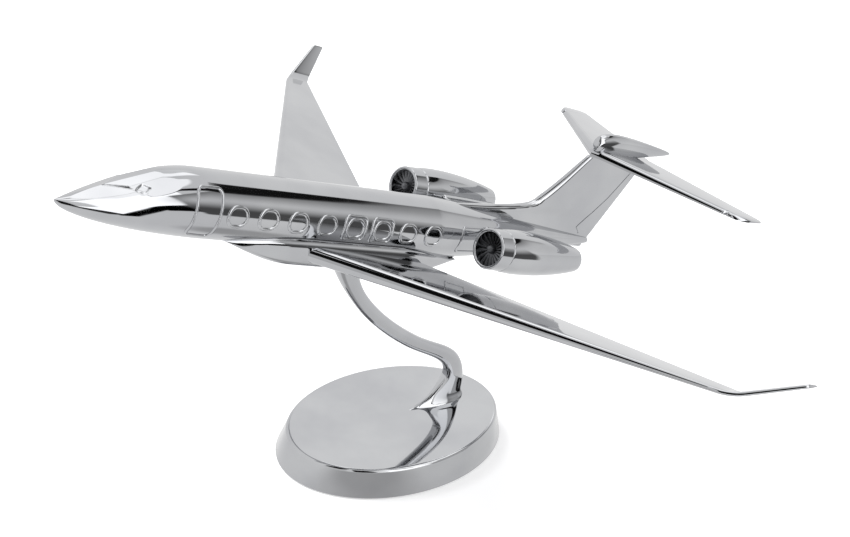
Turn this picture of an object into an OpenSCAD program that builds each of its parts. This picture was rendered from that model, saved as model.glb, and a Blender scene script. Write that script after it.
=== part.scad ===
// Desk model of a twin-engine business jet: plated zinc castings on a curved arm and an oval base.
// The aircraft's pieces are drawn in its own axes, X to port, Y aft from the nose and Z up,
// and on_aircraft() sets them on the arm's head at the model's pitch.

/* [Fuselage] */
// Radius of the cabin
body_r = 8.4; // [8:0.1:8.8]
// Length of the nose, up to the full cabin section
nose_l = 40; // [36:0.5:42]
// Drop of the nose tip below the cabin axis
nose_drop = 2.7; // [2.2:0.1:3.2]
// Station where the tail starts to taper
tail_start = 112; // [108:1:116]
// Station of the tail cone's end
tail_end = 182; // [181.6:0.1:186]
// Height of the tail cone's end above the cabin axis
tail_rise = 1.2; // [0.8:0.1:1.6]
// Radius of the tail cone's end
tail_tip_r = 0.9; // [0.8:0.1:1.3]
// Station of the first cabin window's centre
window_start = 44; // [43.5:0.1:45]
// Distance between cabin windows
window_pitch = 9.37; // [9.2:0.05:9.6]
// Height of the window row above the cabin axis
window_rise = 0.9; // [0.6:0.1:1.2]
// Width of a window ring
window_w = 5.6; // [5.2:0.1:6]
// Height of a window ring
window_h = 4.8; // [4.4:0.1:5.1]
// Height of the raised lines on the skin
trim_h = 0.22; // [0.15:0.01:0.3]
// Width of the raised lines on the skin
trim_w = 0.5; // [0.4:0.05:0.6]
// Width of the entrance door
door_w = 7.4; // [7:0.1:7.8]
// Width of the frames round two windows
frame_w = 7.6; // [7.2:0.1:8]
// Height of the frames round two windows
frame_h = 6.6; // [6.2:0.1:7]
// Height of the door's top above the cabin axis
door_top = 6.7; // [6.4:0.1:6.9]
// Height of the door, measured straight down
door_h = 12.3; // [11.8:0.1:12.8]

/* [Belly fairing] */
// Station of the fairing's front end
belly_start = 44; // [42:1:48]
// Length of the fairing
belly_l = 82; // [78:1:86]
// Depth of the fairing's flat underside below the cabin
belly_deep = 3; // [2.8:0.1:3.6]
// How far the fairing stands out past the cabin's side
belly_bulge = 0.6; // [0.4:0.1:1]

/* [Wings] */
// Depth of the wing root inside the cabin's side
wing_sink = 1.8; // [1.4:0.1:2]
// Distance from the centre line to the start of the winglet bend
wing_bend_s = 92; // [84:1:98]
// Station of the leading edge, carried on to the centre line
wing_le = 62.4; // [60:0.2:64]
// Aft sweep of the leading edge for each millimetre of span
wing_le_sweep = 0.74; // [0.7:0.01:0.76]
// Chord of the wing, carried on to the centre line
wing_chord = 43.6; // [42:0.2:45]
// Chord of the wing at the winglet bend
wing_bend_chord = 8.64; // [8:0.04:9.6]
// Height of the wing's mean plane above the cabin's underside, at the centre line
wing_rise = 0.2; // [0:0.1:0.3]
// Dihedral of the wing, degrees
wing_dihedral = 8.2; // [7:0.2:9]
// Thickness of the wing at its root
wing_t = 4.4; // [3.8:0.1:4.6]
// Thickness of the wing at the winglet bend
wing_tip_t = 1.3; // [1.1:0.05:1.6]
// Radius of the winglet bend
winglet_r = 8; // [6:0.5:10]
// Length of the winglet above its bend
winglet_l = 10.8; // [9:0.2:12]
// Cant of the winglet from the horizontal, degrees
winglet_cant = 41; // [36:1:50]
// Width of the wing's tang along the fuselage
tang_w = 22; // [20:0.5:24]
// Thickness of the wing's tang
tang_t = 1.2; // [1:0.05:1.3]
// Distance of the wing screws from the middle of the tang
wing_screw_b = 7.5; // [7:0.1:8]
// Distance of the wing screws from the centre line
wing_screw_s = 3.6; // [3.4:0.1:3.8]
// Radius of the wing screws' shank
wing_screw_r = 0.6; // [0.5:0.05:0.7]
// Radius of the wing screws' head
wing_screw_head_r = 1.2; // [1.1:0.05:1.3]

/* [Tail] */
// Station of the dorsal fin's front end
dorsal_start = 121; // [119:0.5:124]
// Station of the leading edge's bend
fin_bend_b = 150.6; // [148:0.5:152]
// Height of the leading edge's bend above the cabin axis
fin_bend_u = 10.4; // [9.8:0.1:11]
// Height of the fin's top above the cabin axis
fin_top_u = 27.1; // [26.3:0.2:28.5]
// Station of the fin's leading edge at its top
fin_top_le = 166.6; // [165.6:0.2:167.6]
// Station of the fin's trailing edge at its top
fin_top_te = 192.1; // [190.5:0.2:193.5]
// Station of the fin's trailing edge at its foot
fin_foot_te = 181; // [180:0.2:181.6]
// Thickness of the fin at its root
fin_t = 2.8; // [2.6:0.1:3.2]
// Thickness of the fin at its top
fin_top_t = 2; // [1.8:0.1:2.4]
// Width of the engraved rudder line
groove_w = 0.35; // [0.25:0.05:0.45]
// Depth of the engraved lines
groove_d = 0.25; // [0.2:0.05:0.3]
// Half span of the tailplane
stab_s = 39; // [36:0.5:42]
// Station of the tailplane's leading edge, carried on to the centre line
stab_le = 167; // [166:0.2:169]
// Aft sweep of the tailplane's leading edge for each millimetre of span
stab_le_sweep = 0.68; // [0.64:0.01:0.7]
// Station of the tailplane's trailing edge, carried on to the centre line
stab_te = 194.5; // [193:0.2:196]
// Aft sweep of the tailplane's trailing edge for each millimetre of span
stab_te_sweep = 0.265; // [0.24:0.005:0.29]
// Thickness of the tailplane at its root
stab_t = 2.4; // [2.2:0.05:2.6]
// Thickness of the tailplane at its tips
stab_tip_t = 1.3; // [1.2:0.05:1.5]
// Length of the tail bullet
bullet_l = 35.4; // [34:0.2:37]
// Half height of the tail bullet
bullet_r = 3.9; // [3.6:0.05:4.1]

/* [Engines] */
// Station of the intake lip
nacelle_b = 119.5; // [118:0.5:121]
// Length of the nacelle with its intake ring
nacelle_l = 36.8; // [36:0.2:38]
// Distance of the nacelle's axis from the centre line
nacelle_s = 18.6; // [18:0.1:19.2]
// Height of the nacelle's axis above the cabin axis
nacelle_u = 3.6; // [3.2:0.1:4]
// Radius of the intake lip's crest
lip_r = 4.95; // [4.8:0.05:5.1]
// Largest radius of the nacelle
nacelle_r = 6; // [5.8:0.05:6.2]
// Radius of the nacelle's aft end
nozzle_r = 3; // [2.8:0.1:3.3]
// Droop of the nacelle's axis towards its aft end, degrees
nacelle_droop = 1.5; // [0.5:0.1:2]
// Radius of the intake duct
duct_r = 4.5; // [4.3:0.05:4.6]
// Length of the intake ring
ring_l = 4.6; // [4.2:0.1:5]
// Depth of the fan behind the lip
fan_depth = 1.6; // [1.4:0.1:2]
// Depth of the duct behind the lip
duct_l = 7.2; // [6.8:0.1:8]
// Blades of each fan
fan_blades = 20; // [16:1:24]
// Station of the pylon's leading edge
pylon_b = 130; // [128:0.5:132]
// Length of the pylon along the fuselage
pylon_l = 22; // [20:0.5:24]
// Thickness of the pylon
pylon_t = 1.7; // [1.6:0.05:2]
// Radius of the pylon's dowels
dowel_r = 0.4; // [0.35:0.01:0.45]
// Length of the pylon's dowels
dowel_l = 7.4; // [7:0.1:7.8]

/* [Stand] */
// Nose-up pitch of the aircraft, degrees
pitch = 17.63; // [14:0.2:20]
// Station of the aircraft that sits over the arm's head
seat_b = 91; // [89:0.5:93]
// Y of the arm's head
head_y = -26.04; // [-30:0.5:-22]
// Z of the arm's head
head_z = 67.15; // [60:0.5:74]
// Width of the arm across the model
arm_w = 3; // [2.8:0.1:3.4]
// Depth of the arm at its waist
arm_d = 4.1; // [3.8:0.1:4.5]
// Depth of the arm's flared head
head_d = 8; // [7.4:0.1:8.6]
// Width of the arm's flared head
head_w = 5.2; // [5:0.1:6]
// Radius of the peg
peg_r = 1.5; // [1.4:0.05:1.6]
// Length of the peg inside the arm
peg_in = 3.5; // [3:0.1:3.8]
// Length of the peg above the arm's head
peg_out = 8; // [7:0.5:8.5]
// Radial running clearance of the peg in its bush
peg_fit = 0.05; // [0.03:0.01:0.08]
// Gap between the aircraft's belly and the arm's head
seat_gap = 0.02; // [0.01:0.01:0.04]
// Wall of the bush
bush_t = 0.6; // [0.5:0.05:0.7]

/* [Foot] */
// Y of the foot's toe
toe_y = 5.6; // [4:0.2:7]
// Y of the foot's heel
heel_y = 25.2; // [24.6:0.2:26]
// Width of the foot
foot_w = 7.2; // [6.6:0.1:8]
// Height of the foot
foot_h = 10.5; // [10:0.5:12]
// Radius of the arm screws' shank
arm_screw_r = 1.2; // [1:0.05:1.3]
// Radius of the arm screws' head
arm_screw_head_r = 2.3; // [2.2:0.1:2.5]
// Height of the arm screws' head
arm_screw_head_h = 1.6; // [1.4:0.1:1.8]
// Depth of the arm screws in the foot
arm_screw_grip = 5; // [4:0.5:6]

/* [Base] */
// Half width of the base at its foot
base_x = 24.9; // [23:0.2:27]
// Half length of the base at its foot
base_y = 36.4; // [34:0.2:39]
// Height of the base
base_h = 8.3; // [7.6:0.1:9]
// Inward lean of the base's side
base_flare = 2.1; // [1.6:0.1:2.6]
// Radius of the base's top edge
base_edge = 0.9; // [0.6:0.1:1.2]
// Thickness of the pad
pad_t = 1.2; // [1:0.1:1.5]
// How far the pad stands below the base
pad_proud = 0.3; // [0.2:0.05:0.4]
// Margin of the pad inside the base's foot
pad_margin = 1.6; // [1.2:0.1:2]

/* [Hidden] */

chrome = "#c4c6c9";
dark = "#3a3b3d";
steel = "#8f9296";
brass = "#b8964e";
rubber = "#202124";

// Facets of the round pieces
round_fn = 72;
// Overshoot of a cut past the face that it opens
eps = 0.05;
// Points of a ring and rings of the fuselage
hull_n = 36;
nose_steps = 14;
tail_steps = 12;
foil_n = 26;
window_count = 8;
framed_windows = [4, 5];

// Drawing helpers

module on_aircraft() {
    translate([0, head_y, head_z])
        rotate([-pitch, 0, 0])
            translate([0, -seat_b, belly_drop + seat_gap])
                children();
}

module both_sides() {
    children();
    mirror([1, 0, 0])
        children();
}

// A rod along Y, from station b for the length l
module rod_y(b, l, r) {
    translate([0, b, 0])
        rotate([-90, 0, 0])
            cylinder(r = r, h = l, $fn = round_fn);
}

// A closed skin over rings with the same number of points, with flat ends
module skin(rings) {
    n = len(rings[0]);
    last = len(rings) - 1;
    points = [for (ring = rings) each ring];
    sides = [
        for (i = [0 : last - 1], j = [0 : n - 1])
            let (a = i * n + j, b = i * n + (j + 1) % n)
                each [[a, b, b + n], [a, b + n, a + n]]
    ];
    front = [for (j = [n - 1 : -1 : 0]) j];
    back = [for (j = [0 : n - 1]) last * n + j];
    polyhedron(points = points, faces = concat(sides, [front, back]));
}

// Half thickness of a cast section at the share x of its chord: a round nose, as long as the thickness times
// nose, then a taper to the trailing edge
function foil_half(x, t, chord, nose) =
    let (n = min(1, x * chord / (nose * t)))
        t / 2 * sqrt(n * (2 - n)) * (1 - (1 - foil_edge / t) * pow(x, foil_taper));
// Thickness of a cast trailing edge, the power of the taper, and the length of a blunt nose
foil_edge = 0.36;
foil_taper = 1.5;
blunt = 0.6;
// Share of the points that the nose gets
foil_crowd = 1.6;

// Points of a section as [share of the chord, height], from the trailing edge along the lower side
function foil(t, chord, nose) = [
    for (k = [0 : foil_n - 1])
        let (a = 360 * (k + 0.5) / foil_n, x = pow(0.5 + 0.5 * cos(a), foil_crowd))
            [x, (a < 180 ? -1 : 1) * foil_half(x, t, chord, nose)]
];

function mix(a, b, t) = a + (b - a) * t;

// Fuselage

function nose_swell(t) = 1 - (1 - t) * (1 - t);
function nose_rise(t) = pow(sin(90 * min(1, t / 0.88)), 1.1);

function hull_ring(b, w, top, bottom) =
    let (mid = (top + bottom) / 2, h = (top - bottom) / 2)
        [for (k = [0 : hull_n - 1]) let (a = 360 * k / hull_n) [w * cos(a), b, mid + h * sin(a)]];

function nose_ring(t) = hull_ring(
    nose_l * t,
    body_r * pow(nose_swell(t), 0.75),
    -nose_drop + (body_r + nose_drop) * nose_rise(t),
    -nose_drop - (body_r - nose_drop) * pow(nose_swell(t), 0.5)
);

// Height of the tail's top line and bottom line at the share t of the tail
function tail_top(t) = mix(body_r, tail_rise + tail_tip_r, pow(t, 1.2));
function tail_bottom(t) = mix(-body_r, tail_rise - tail_tip_r, pow(t, 1.3));
function tail_share(b) = (b - tail_start) / (tail_end - tail_start);

function tail_ring(t) = hull_ring(
    mix(tail_start, tail_end, t),
    mix(body_r, tail_tip_r, pow(t, 1.35)),
    tail_top(t),
    tail_bottom(t)
);

module fuselage_skin() {
    skin(concat(
        [for (i = [1 : nose_steps]) nose_ring(pow(i / nose_steps, 1.7))],
        [for (i = [0 : tail_steps]) tail_ring(i / tail_steps)]
    ));
}

// A raised line on the cabin's side: the flat shape, sent through the side and trimmed to the line's height
module side_trim() {
    intersection() {
        rotate([90, 0, 90])
            linear_extrude(body_r + 2)
                children();
        rod_y(0, tail_start, body_r + trim_h);
    }
}

module window_outline(b) {
    translate([b, window_rise])
        difference() {
            rounded_square(window_w, window_h, window_corner);
            rounded_square(window_w - 2 * trim_w, window_h - 2 * trim_w, window_corner - trim_w);
        }
}

module frame_outline(b) {
    translate([b, window_rise])
        difference() {
            rounded_square(frame_w, frame_h, frame_r);
            rounded_square(frame_w - trim_w, frame_h - trim_w, frame_r - trim_w / 2);
        }
}
// Corner radii of the window rings and of the frames
window_corner = window_h / 2 - 0.1;
frame_r = 1.4;

module rounded_square(w, h, r) {
    square([w, h - 2 * r], center = true);
    square([w - 2 * r, h], center = true);
    for (x = [-1, 1], y = [-1, 1])
        translate([x * (w / 2 - r), y * (h / 2 - r)])
            circle(r = r, $fn = round_fn);
}

module door_outline() {
    translate([door_b, door_top - door_h / 2])
        difference() {
            rounded_square(door_w, door_h, frame_r);
            rounded_square(door_w - trim_w, door_h - trim_w, frame_r - trim_w / 2);
        }
}
// Station of the door's middle, ahead of the first window
door_gap = 2.1;
door_b = window_start - window_w / 2 - door_gap - door_w / 2;

module cabin_trim() {
    for (i = [0 : window_count - 1])
        side_trim()
            window_outline(window_start + i * window_pitch);
    for (i = framed_windows)
        side_trim()
            frame_outline(window_start + i * window_pitch);
}

module fuselage() {
    color(chrome)
        on_aircraft()
            difference() {
                union() {
                    fuselage_skin();
                    both_sides()
                        cabin_trim();
                    side_trim()
                        door_outline();
                }
                fin_blank();
                both_sides()
                    pylon_blank();
                both_sides()
                    dowel_set();
                wing_screw_set(wing_screw_r);
                bush_bore();
            }
}

// Belly fairing

// Depth of the fairing at the share t of its length: both ends run into the cabin
function belly_depth(t) =
    let (ramp = min(1, t / 0.27, (1 - t) / 0.3))
        mix(body_r - belly_end_sink, belly_drop, pow(sin(90 * ramp), 1.1));
function belly_half(t) =
    let (ramp = min(1, t / 0.3, (1 - t) / 0.3))
        mix(body_r / 2, belly_w, pow(sin(90 * ramp), 0.9));
// Depth of the fairing's ends inside the cabin's underside
belly_end_sink = 1.6;
belly_drop = body_r + belly_deep;
belly_w = body_r + belly_bulge;

// The fairing's section, a rounded box that is flat below
function belly_ring(t) =
    let (b = belly_start + belly_l * t, w = belly_half(t), d = belly_depth(t))
        [for (k = [0 : belly_n - 1])
            let (a = 360 * k / belly_n, c = cos(a), s = sin(a))
                [w * sign(c) * sqrt(abs(c)), b, -belly_mid + (d - belly_mid) * sign(s) * sqrt(abs(s))]];
belly_n = 32;
belly_steps = 22;
// Depth of the section's middle below the cabin axis
belly_mid = body_r - 1.4;

module belly_fairing() {
    color(chrome)
        on_aircraft()
            difference() {
                skin([for (i = [0 : belly_steps]) belly_ring(i / belly_steps)]);
                rod_y(belly_start - 1, belly_l + 2, body_r);
                both_sides()
                    wing_blank(1);
                both_sides()
                    tang_blank();
                wing_screw_set(wing_screw_r);
                wing_screw_heads();
                bush_bore();
            }
}

// Wings

wing_root_s = body_r - wing_sink;
wing_drop = body_r - wing_rise;
function wing_u(s) = -wing_drop + s * tan(wing_dihedral);
function wing_station(s) =
    let (le = wing_le + wing_le_sweep * s, te = le + mix(wing_chord, wing_bend_chord, s / wing_bend_s))
        [le, te, s, wing_u(s), mix(wing_t, wing_tip_t, (s - wing_root_s) / (wing_bend_s - wing_root_s)),
            wing_dihedral];

// Winglet stations: the bend in arc_steps, then the straight tip
arc_steps = 4;
winglet_sweep = 1.05;
winglet_tip_chord = 4.2;
winglet_tip_t = 1.1;
function winglet_station(i) =
    let (
        arc = min(i, arc_steps) / arc_steps,
        cant = mix(wing_dihedral, winglet_cant, arc),
        out = i > arc_steps ? winglet_l : 0,
        bend = wing_station(wing_bend_s),
        run = winglet_r * (cant - wing_dihedral) * PI / 180 + out,
        whole = winglet_r * (winglet_cant - wing_dihedral) * PI / 180 + winglet_l,
        s = wing_bend_s + winglet_r * (sin(cant) - sin(wing_dihedral)) + out * cos(cant),
        u = bend[3] + winglet_r * (cos(wing_dihedral) - cos(cant)) + out * sin(cant),
        le = bend[0] + winglet_sweep * run,
        chord = mix(bend[1] - bend[0], winglet_tip_chord, run / whole)
    )
        [le, le + chord, s, u, mix(wing_tip_t, winglet_tip_t, run / whole), cant];

function wing_ring(st) = [
    for (p = foil(st[4], st[1] - st[0], blunt))
        [st[2] - p[1] * sin(st[5]), mix(st[0], st[1], p[0]), st[3] + p[1] * cos(st[5])]
];

// Distance from the centre line to the wing's second station, just outside the fairing
wing_joint_s = belly_w + 2;
wing_stations = concat(
    [wing_station(wing_root_s), wing_station(wing_joint_s), wing_station(wing_bend_s)],
    [for (i = [1 : arc_steps + 1]) winglet_station(i)]
);

// The wing up to its station number last
module wing_blank(last) {
    skin([for (i = [0 : last]) wing_ring(wing_stations[i])]);
}

// The tang lies under the cabin, at the middle of the root chord
tang_b = wing_le + wing_chord / 2 + 2;
tang_top = body_r + 0.15;
module tang_blank() {
    translate([tang_gap / 2, tang_b - tang_w / 2, -tang_top - tang_t])
        cube([wing_root_s + 1 - tang_gap / 2, tang_w, tang_t]);
}
// Gap between the two tangs
tang_gap = 2 * (wing_screw_s - wing_screw_head_r - 0.3);

module wing() {
    on_aircraft()
        difference() {
            union() {
                wing_blank(len(wing_stations) - 1);
                tang_blank();
            }
            wing_screw_set(wing_screw_r);
        }
}

module left_wing() {
    color(chrome)
        wing();
}

module right_wing() {
    color(chrome)
        mirror([1, 0, 0])
            wing();
}

// Wing screws, from the fairing's underside into the fuselage
wing_screw_tip = 5;
wing_head_h = 0.8;
wing_head_sink = 0.3;

module wing_screw_places() {
    for (x = [-1, 1], y = [-1, 1])
        translate([x * wing_screw_s, tang_b + y * wing_screw_b, -belly_drop])
            children();
}

module wing_screw_set(r) {
    wing_screw_places()
        cylinder(r = r, h = belly_drop - wing_screw_tip, $fn = round_fn);
}

module wing_screw_heads() {
    wing_screw_places()
        translate([0, 0, -eps])
            cylinder(r = wing_screw_head_r, h = wing_head_sink + wing_head_h + eps, $fn = round_fn);
}

module wing_screws() {
    color(steel)
        on_aircraft()
            wing_screw_places()
                difference() {
                    union() {
                        translate([0, 0, wing_head_sink])
                            cylinder(r = wing_screw_head_r, h = wing_head_h, $fn = round_fn);
                        translate([0, 0, wing_head_sink])
                            cylinder(
                                r = wing_screw_r,
                                h = belly_drop - wing_screw_tip - wing_head_sink,
                                $fn = round_fn
                            );
                    }
                    cross_recess(wing_screw_head_r, wing_head_h / 2, wing_head_sink);
                }
}

// A cross recess in a screw's head, open downwards from the height z
module cross_recess(r, depth, z) {
    translate([0, 0, z - eps])
        for (turn = [0, 90])
            rotate([0, 0, turn])
                translate([-r * 0.65, -r * 0.14, 0])
                    cube([r * 1.3, r * 0.28, depth + eps]);
}

// Tail fin

function fin_te(u) = mix(fin_foot_te, fin_top_te, u / fin_top_u);
// Rings as [height, leading edge, thickness, nose]: the dorsal fin runs out to a point along the fuselage
fin_stations = [
    [-1, dorsal_start - 2, fin_t * 1.1, 8],
    [fin_bend_u - 2.9, dorsal_start - 0.5, fin_t * 1.1, 8],
    [fin_bend_u - 1.6, mix(dorsal_start, fin_bend_b, 0.5), fin_t, 5],
    [fin_bend_u - 0.5, fin_bend_b - 4, fin_t, 2],
    [fin_bend_u + 0.6, fin_bend_b + 0.8, fin_t, 1],
    [fin_bend_u + 2.4, fin_bend_b + 3.2, fin_t, blunt],
    [fin_top_u, fin_top_le, fin_top_t, blunt]
];

function fin_ring(st) = [
    for (p = foil(st[2], fin_te(st[0]) - st[1], st[3]))
        [-p[1], mix(st[1], fin_te(st[0]), p[0]), st[0]]
];

// Depth of the fin's root inside the fuselage's top
fin_sink = 1.6;

module fin_blank() {
    difference() {
        skin([for (st = fin_stations) fin_ring(st)]);
        root_cut();
    }
}

// What lies deeper than fin_sink under the tail's top line
module root_cut() {
    slope = atan2(
        tail_top(tail_share(dorsal_start)) - tail_top(tail_share(fin_foot_te)),
        fin_foot_te - dorsal_start
    );
    translate([0, dorsal_start, tail_top(tail_share(dorsal_start)) - fin_sink])
        rotate([-slope, 0, 0])
            translate([-body_r, -body_r, -2 * body_r])
                cube([2 * body_r, tail_end, 2 * body_r]);
}

// The rudder's outline: engraved lines on both sides, from the fin's top to its foot
rudder_line = [
    [fin_top_te - 0.7, fin_top_u - 1.7],
    [fin_top_te - 3.8, fin_top_u - 2.7],
    [fin_foot_te + 1.9, 15.3],
    [fin_foot_te - 6.3, 5.1],
    [fin_foot_te - 4.2, 3.3]
];

module rudder_groove() {
    for (i = [0 : len(rudder_line) - 2]) {
        from = rudder_line[i];
        to = rudder_line[i + 1];
        run = to - from;
        translate([0, from[0], from[1]])
            rotate([atan2(run[1], run[0]), 0, 0])
                translate([0, -groove_w / 2, -groove_w / 2])
                    cube([fin_t, norm(run) + groove_w, groove_w]);
    }
}

// Distance of the groove's floor from the fin's middle plane, at the rudder line's share of the chord
rudder_share = 0.8;
rudder_half = foil_half(rudder_share, fin_top_t, fin_top_te - fin_top_le, blunt) - groove_d / 2;

module tail_fin() {
    color(chrome)
        on_aircraft()
            difference() {
                fin_blank();
                both_sides()
                    translate([rudder_half, 0, 0])
                        rudder_groove();
                tail_screw_shape();
            }
}

// Tailplane and bullet

stab_u = fin_top_u + stab_t / 2 + 0.35;
function stab_ring(s) =
    let (
        side = abs(s),
        t = mix(stab_t, stab_tip_t, side / stab_s),
        le = stab_le + stab_le_sweep * side,
        te = stab_te + stab_te_sweep * side
    )
        [for (p = foil(t, te - le, blunt)) [s, mix(le, te, p[0]), stab_u + p[1]]];

// The tip is drawn in over the last millimetres of the span, to these shares of its chord and thickness
stab_tip_l = 1.2;
stab_tip_chord = 0.85;
stab_tip_round = 0.6;
function stab_tip_ring(side) =
    let (ring = stab_ring(side * stab_s), le = stab_le + stab_le_sweep * stab_s,
        te = stab_te + stab_te_sweep * stab_s, mid = mix(le, te, 0.55))
        [for (p = ring) [p[0], mix(mid, p[1], stab_tip_chord), mix(stab_u, p[2], stab_tip_round)]];

// Cut in the leading edge at the inner end of each elevator horn
horn_s = stab_s - 4.6;
horn_cut = 0.7;

module stab_blank() {
    skin([
        stab_tip_ring(-1), stab_ring(stab_tip_l - stab_s), stab_ring(0),
        stab_ring(stab_s - stab_tip_l), stab_tip_ring(1)
    ]);
}

module tailplane() {
    color(chrome)
        on_aircraft()
            difference() {
                stab_blank();
                both_sides()
                    translate([horn_s, stab_le + stab_le_sweep * horn_s, stab_u])
                        cylinder(r = horn_cut, h = 2 * stab_t, center = true, $fn = round_fn);
                tail_screw_shape();
            }
}

bullet_b = fin_top_le + 0.6;
bullet_u = fin_top_u + bullet_r + 0.1;
bullet_tip_rise = 0.9;
bullet_slim = 0.62;
bullet_n = 24;
bullet_steps = 14;

// Radius of the bullet at the share t of its length
function bullet_half(t) = bullet_r * pow(sin(180 * pow(t, 0.55)), 0.55) * (1 - 0.45 * t) + 0.12;
function bullet_ring(t) =
    let (r = bullet_half(t), u = bullet_u + bullet_tip_rise * t)
        [for (k = [0 : bullet_n - 1]) let (a = 360 * k / bullet_n) [r * bullet_slim * cos(a), bullet_b + bullet_l * t,
            u + r * sin(a)]];

module tail_bullet() {
    color(chrome)
        on_aircraft()
            difference() {
                skin([for (i = [0 : bullet_steps]) bullet_ring(pow(i / bullet_steps, 1.4))]);
                stab_blank();
                translate([-body_r, 0, fin_top_u - body_r])
                    cube([2 * body_r, 2 * tail_end, body_r]);
                tail_screw_shape();
            }
}

// The screw that holds bullet and tailplane on the fin
tail_screw_b = mix(fin_top_le, fin_top_te, 0.37);
tail_screw_r = 0.5;
tail_screw_l = 5;

module tail_screw_shape() {
    translate([0, tail_screw_b, fin_top_u - tail_screw_l])
        cylinder(r = tail_screw_r, h = tail_screw_l + stab_t + 1.6, $fn = round_fn);
}

module tail_screw() {
    color(steel)
        on_aircraft()
            tail_screw_shape();
}

// Pylons

// The pylon's section stands on edge and is sent outwards, from inside the fuselage into the nacelle
pylon_sink = 1.2;
pylon_in = body_r * 0.72;
pylon_out = nacelle_s - nacelle_r + pylon_sink;

module pylon_blank() {
    translate([pylon_in, pylon_b, nacelle_u])
        rotate([90, 0, 90])
            linear_extrude(pylon_out - pylon_in)
                polygon([for (p = foil(pylon_t, pylon_l, blunt)) [p[0] * pylon_l, p[1]]]);
}

module dowel_set() {
    for (y = [0.3, 0.55])
        translate([(pylon_in + pylon_out - dowel_l) / 2, pylon_b + pylon_l * y, nacelle_u])
            rotate([0, 90, 0])
                cylinder(r = dowel_r, h = dowel_l, $fn = round_fn);
}

module pylon() {
    on_aircraft()
        difference() {
            pylon_blank();
            dowel_set();
        }
}

module left_pylon() {
    color(chrome)
        pylon();
}

module right_pylon() {
    color(chrome)
        mirror([1, 0, 0])
            pylon();
}

module pylon_dowels() {
    color(steel)
        on_aircraft()
            both_sides()
                dowel_set();
}

// Nacelles

// Outer radius of the nacelle at the distance y behind the lip
nacelle_widest = 0.3;
function nacelle_radius(y) =
    let (t = y / nacelle_l)
        t < nacelle_widest
            ? mix(lip_r, nacelle_r, sin(90 * t / nacelle_widest))
            : mix(nozzle_r, nacelle_r, pow(cos(90 * (t - nacelle_widest) / (1 - nacelle_widest)), 0.8));
nacelle_steps = 22;

module on_engine() {
    on_aircraft()
        translate([nacelle_s, nacelle_b, nacelle_u])
            rotate([-90 - nacelle_droop, 0, 0])
                children();
}

// Radius of the nacelle's rounded aft edge, and the shallow nozzle inside it
aft_edge = 1.1;
nozzle_depth = 2.4;

module nacelle() {
    difference() {
        on_engine()
            difference() {
                rotate_extrude($fn = round_fn)
                    polygon(concat(
                        [[0, ring_l]],
                        [for (i = [0 : nacelle_steps])
                            let (y = mix(ring_l, nacelle_l - aft_edge, i / nacelle_steps))
                                [nacelle_radius(y), y]],
                        [for (a = [30 : 30 : 90])
                            [nozzle_r - aft_edge * (1 - cos(a)), nacelle_l - aft_edge * (1 - sin(a))]],
                        [[0, nacelle_l]]
                    ));
                translate([0, 0, ring_l - eps])
                    cylinder(r = duct_r, h = duct_l - ring_l + eps, $fn = round_fn);
                translate([0, 0, nacelle_l - nozzle_depth])
                    cylinder(r = nozzle_r - aft_edge, h = nozzle_depth + eps, $fn = round_fn);
            }
        on_aircraft()
            pylon_blank();
        on_aircraft()
            dowel_set();
    }
}

module left_nacelle() {
    color(chrome)
        nacelle();
}

module right_nacelle() {
    color(chrome)
        mirror([1, 0, 0])
            nacelle();
}

// The intake ring: a round lip in front, a plain bore behind
lip_half = (lip_r - duct_r) / 2 + 0.25;

module intake_ring() {
    on_engine()
        rotate_extrude($fn = round_fn)
            polygon(concat(
                [[duct_r, ring_l]],
                [for (a = [180 : -20 : 0])
                    [duct_r + lip_half + lip_half * cos(a), lip_half - lip_half * sin(a)]],
                [for (i = [1 : 4])
                    let (y = mix(lip_half, ring_l, i / 4))
                        [mix(duct_r + 2 * lip_half, nacelle_radius(ring_l), i / 4), y]]
            ));
}

module left_intake_ring() {
    color(chrome)
        intake_ring();
}

module right_intake_ring() {
    color(chrome)
        mirror([1, 0, 0])
            intake_ring();
}

// Fan: twisted-in flat blades and a spinner on a back plate that seats on the duct's floor
spinner_r = 1.25;
blade_t = 0.22;
blade_chord = 1.1;
blade_angle = 38;
fan_r = duct_r - 0.02;

module fan() {
    on_engine() {
        translate([0, 0, fan_depth + blade_chord])
            cylinder(r = fan_r, h = duct_l - fan_depth - blade_chord, $fn = round_fn);
        translate([0, 0, fan_depth])
            cylinder(r = spinner_r, h = blade_chord + eps, $fn = round_fn);
        translate([0, 0, fan_depth - spinner_r * 0.9])
            cylinder(r1 = spinner_r * 0.2, r2 = spinner_r, h = spinner_r * 0.9 + eps, $fn = round_fn);
        intersection() {
            cylinder(r = fan_r, h = nacelle_l, $fn = round_fn);
            for (i = [0 : fan_blades - 1])
                rotate([0, 0, 360 * i / fan_blades])
                    translate([spinner_r * 0.8, 0, fan_depth + blade_chord / 2 + 0.1])
                        rotate([blade_angle, 0, 0])
                            translate([0, -blade_t / 2, -blade_chord / 2])
                                cube([fan_r, blade_t, blade_chord]);
        }
    }
}

module left_fan() {
    color(dark)
        fan();
}

module right_fan() {
    color(dark)
        mirror([1, 0, 0])
            fan();
}

// Peg joint: the peg stands in the arm's head and the bush is pressed into fairing and fuselage

bush_top = peg_out + 0.6;
module bush_bore() {
    translate([0, seat_b, -belly_drop - eps])
        cylinder(r = peg_r + peg_fit + bush_t, h = bush_top + eps, $fn = round_fn);
}

module socket_bush() {
    color(brass)
        on_aircraft()
            difference() {
                translate([0, seat_b, -belly_drop])
                    cylinder(r = peg_r + peg_fit + bush_t, h = bush_top, $fn = round_fn);
                translate([0, seat_b, -belly_drop - eps])
                    cylinder(r = peg_r + peg_fit, h = peg_out + 0.3, $fn = round_fn);
            }
}

module on_head() {
    translate([0, head_y, head_z])
        rotate([-pitch, 0, 0])
            children();
}

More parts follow.
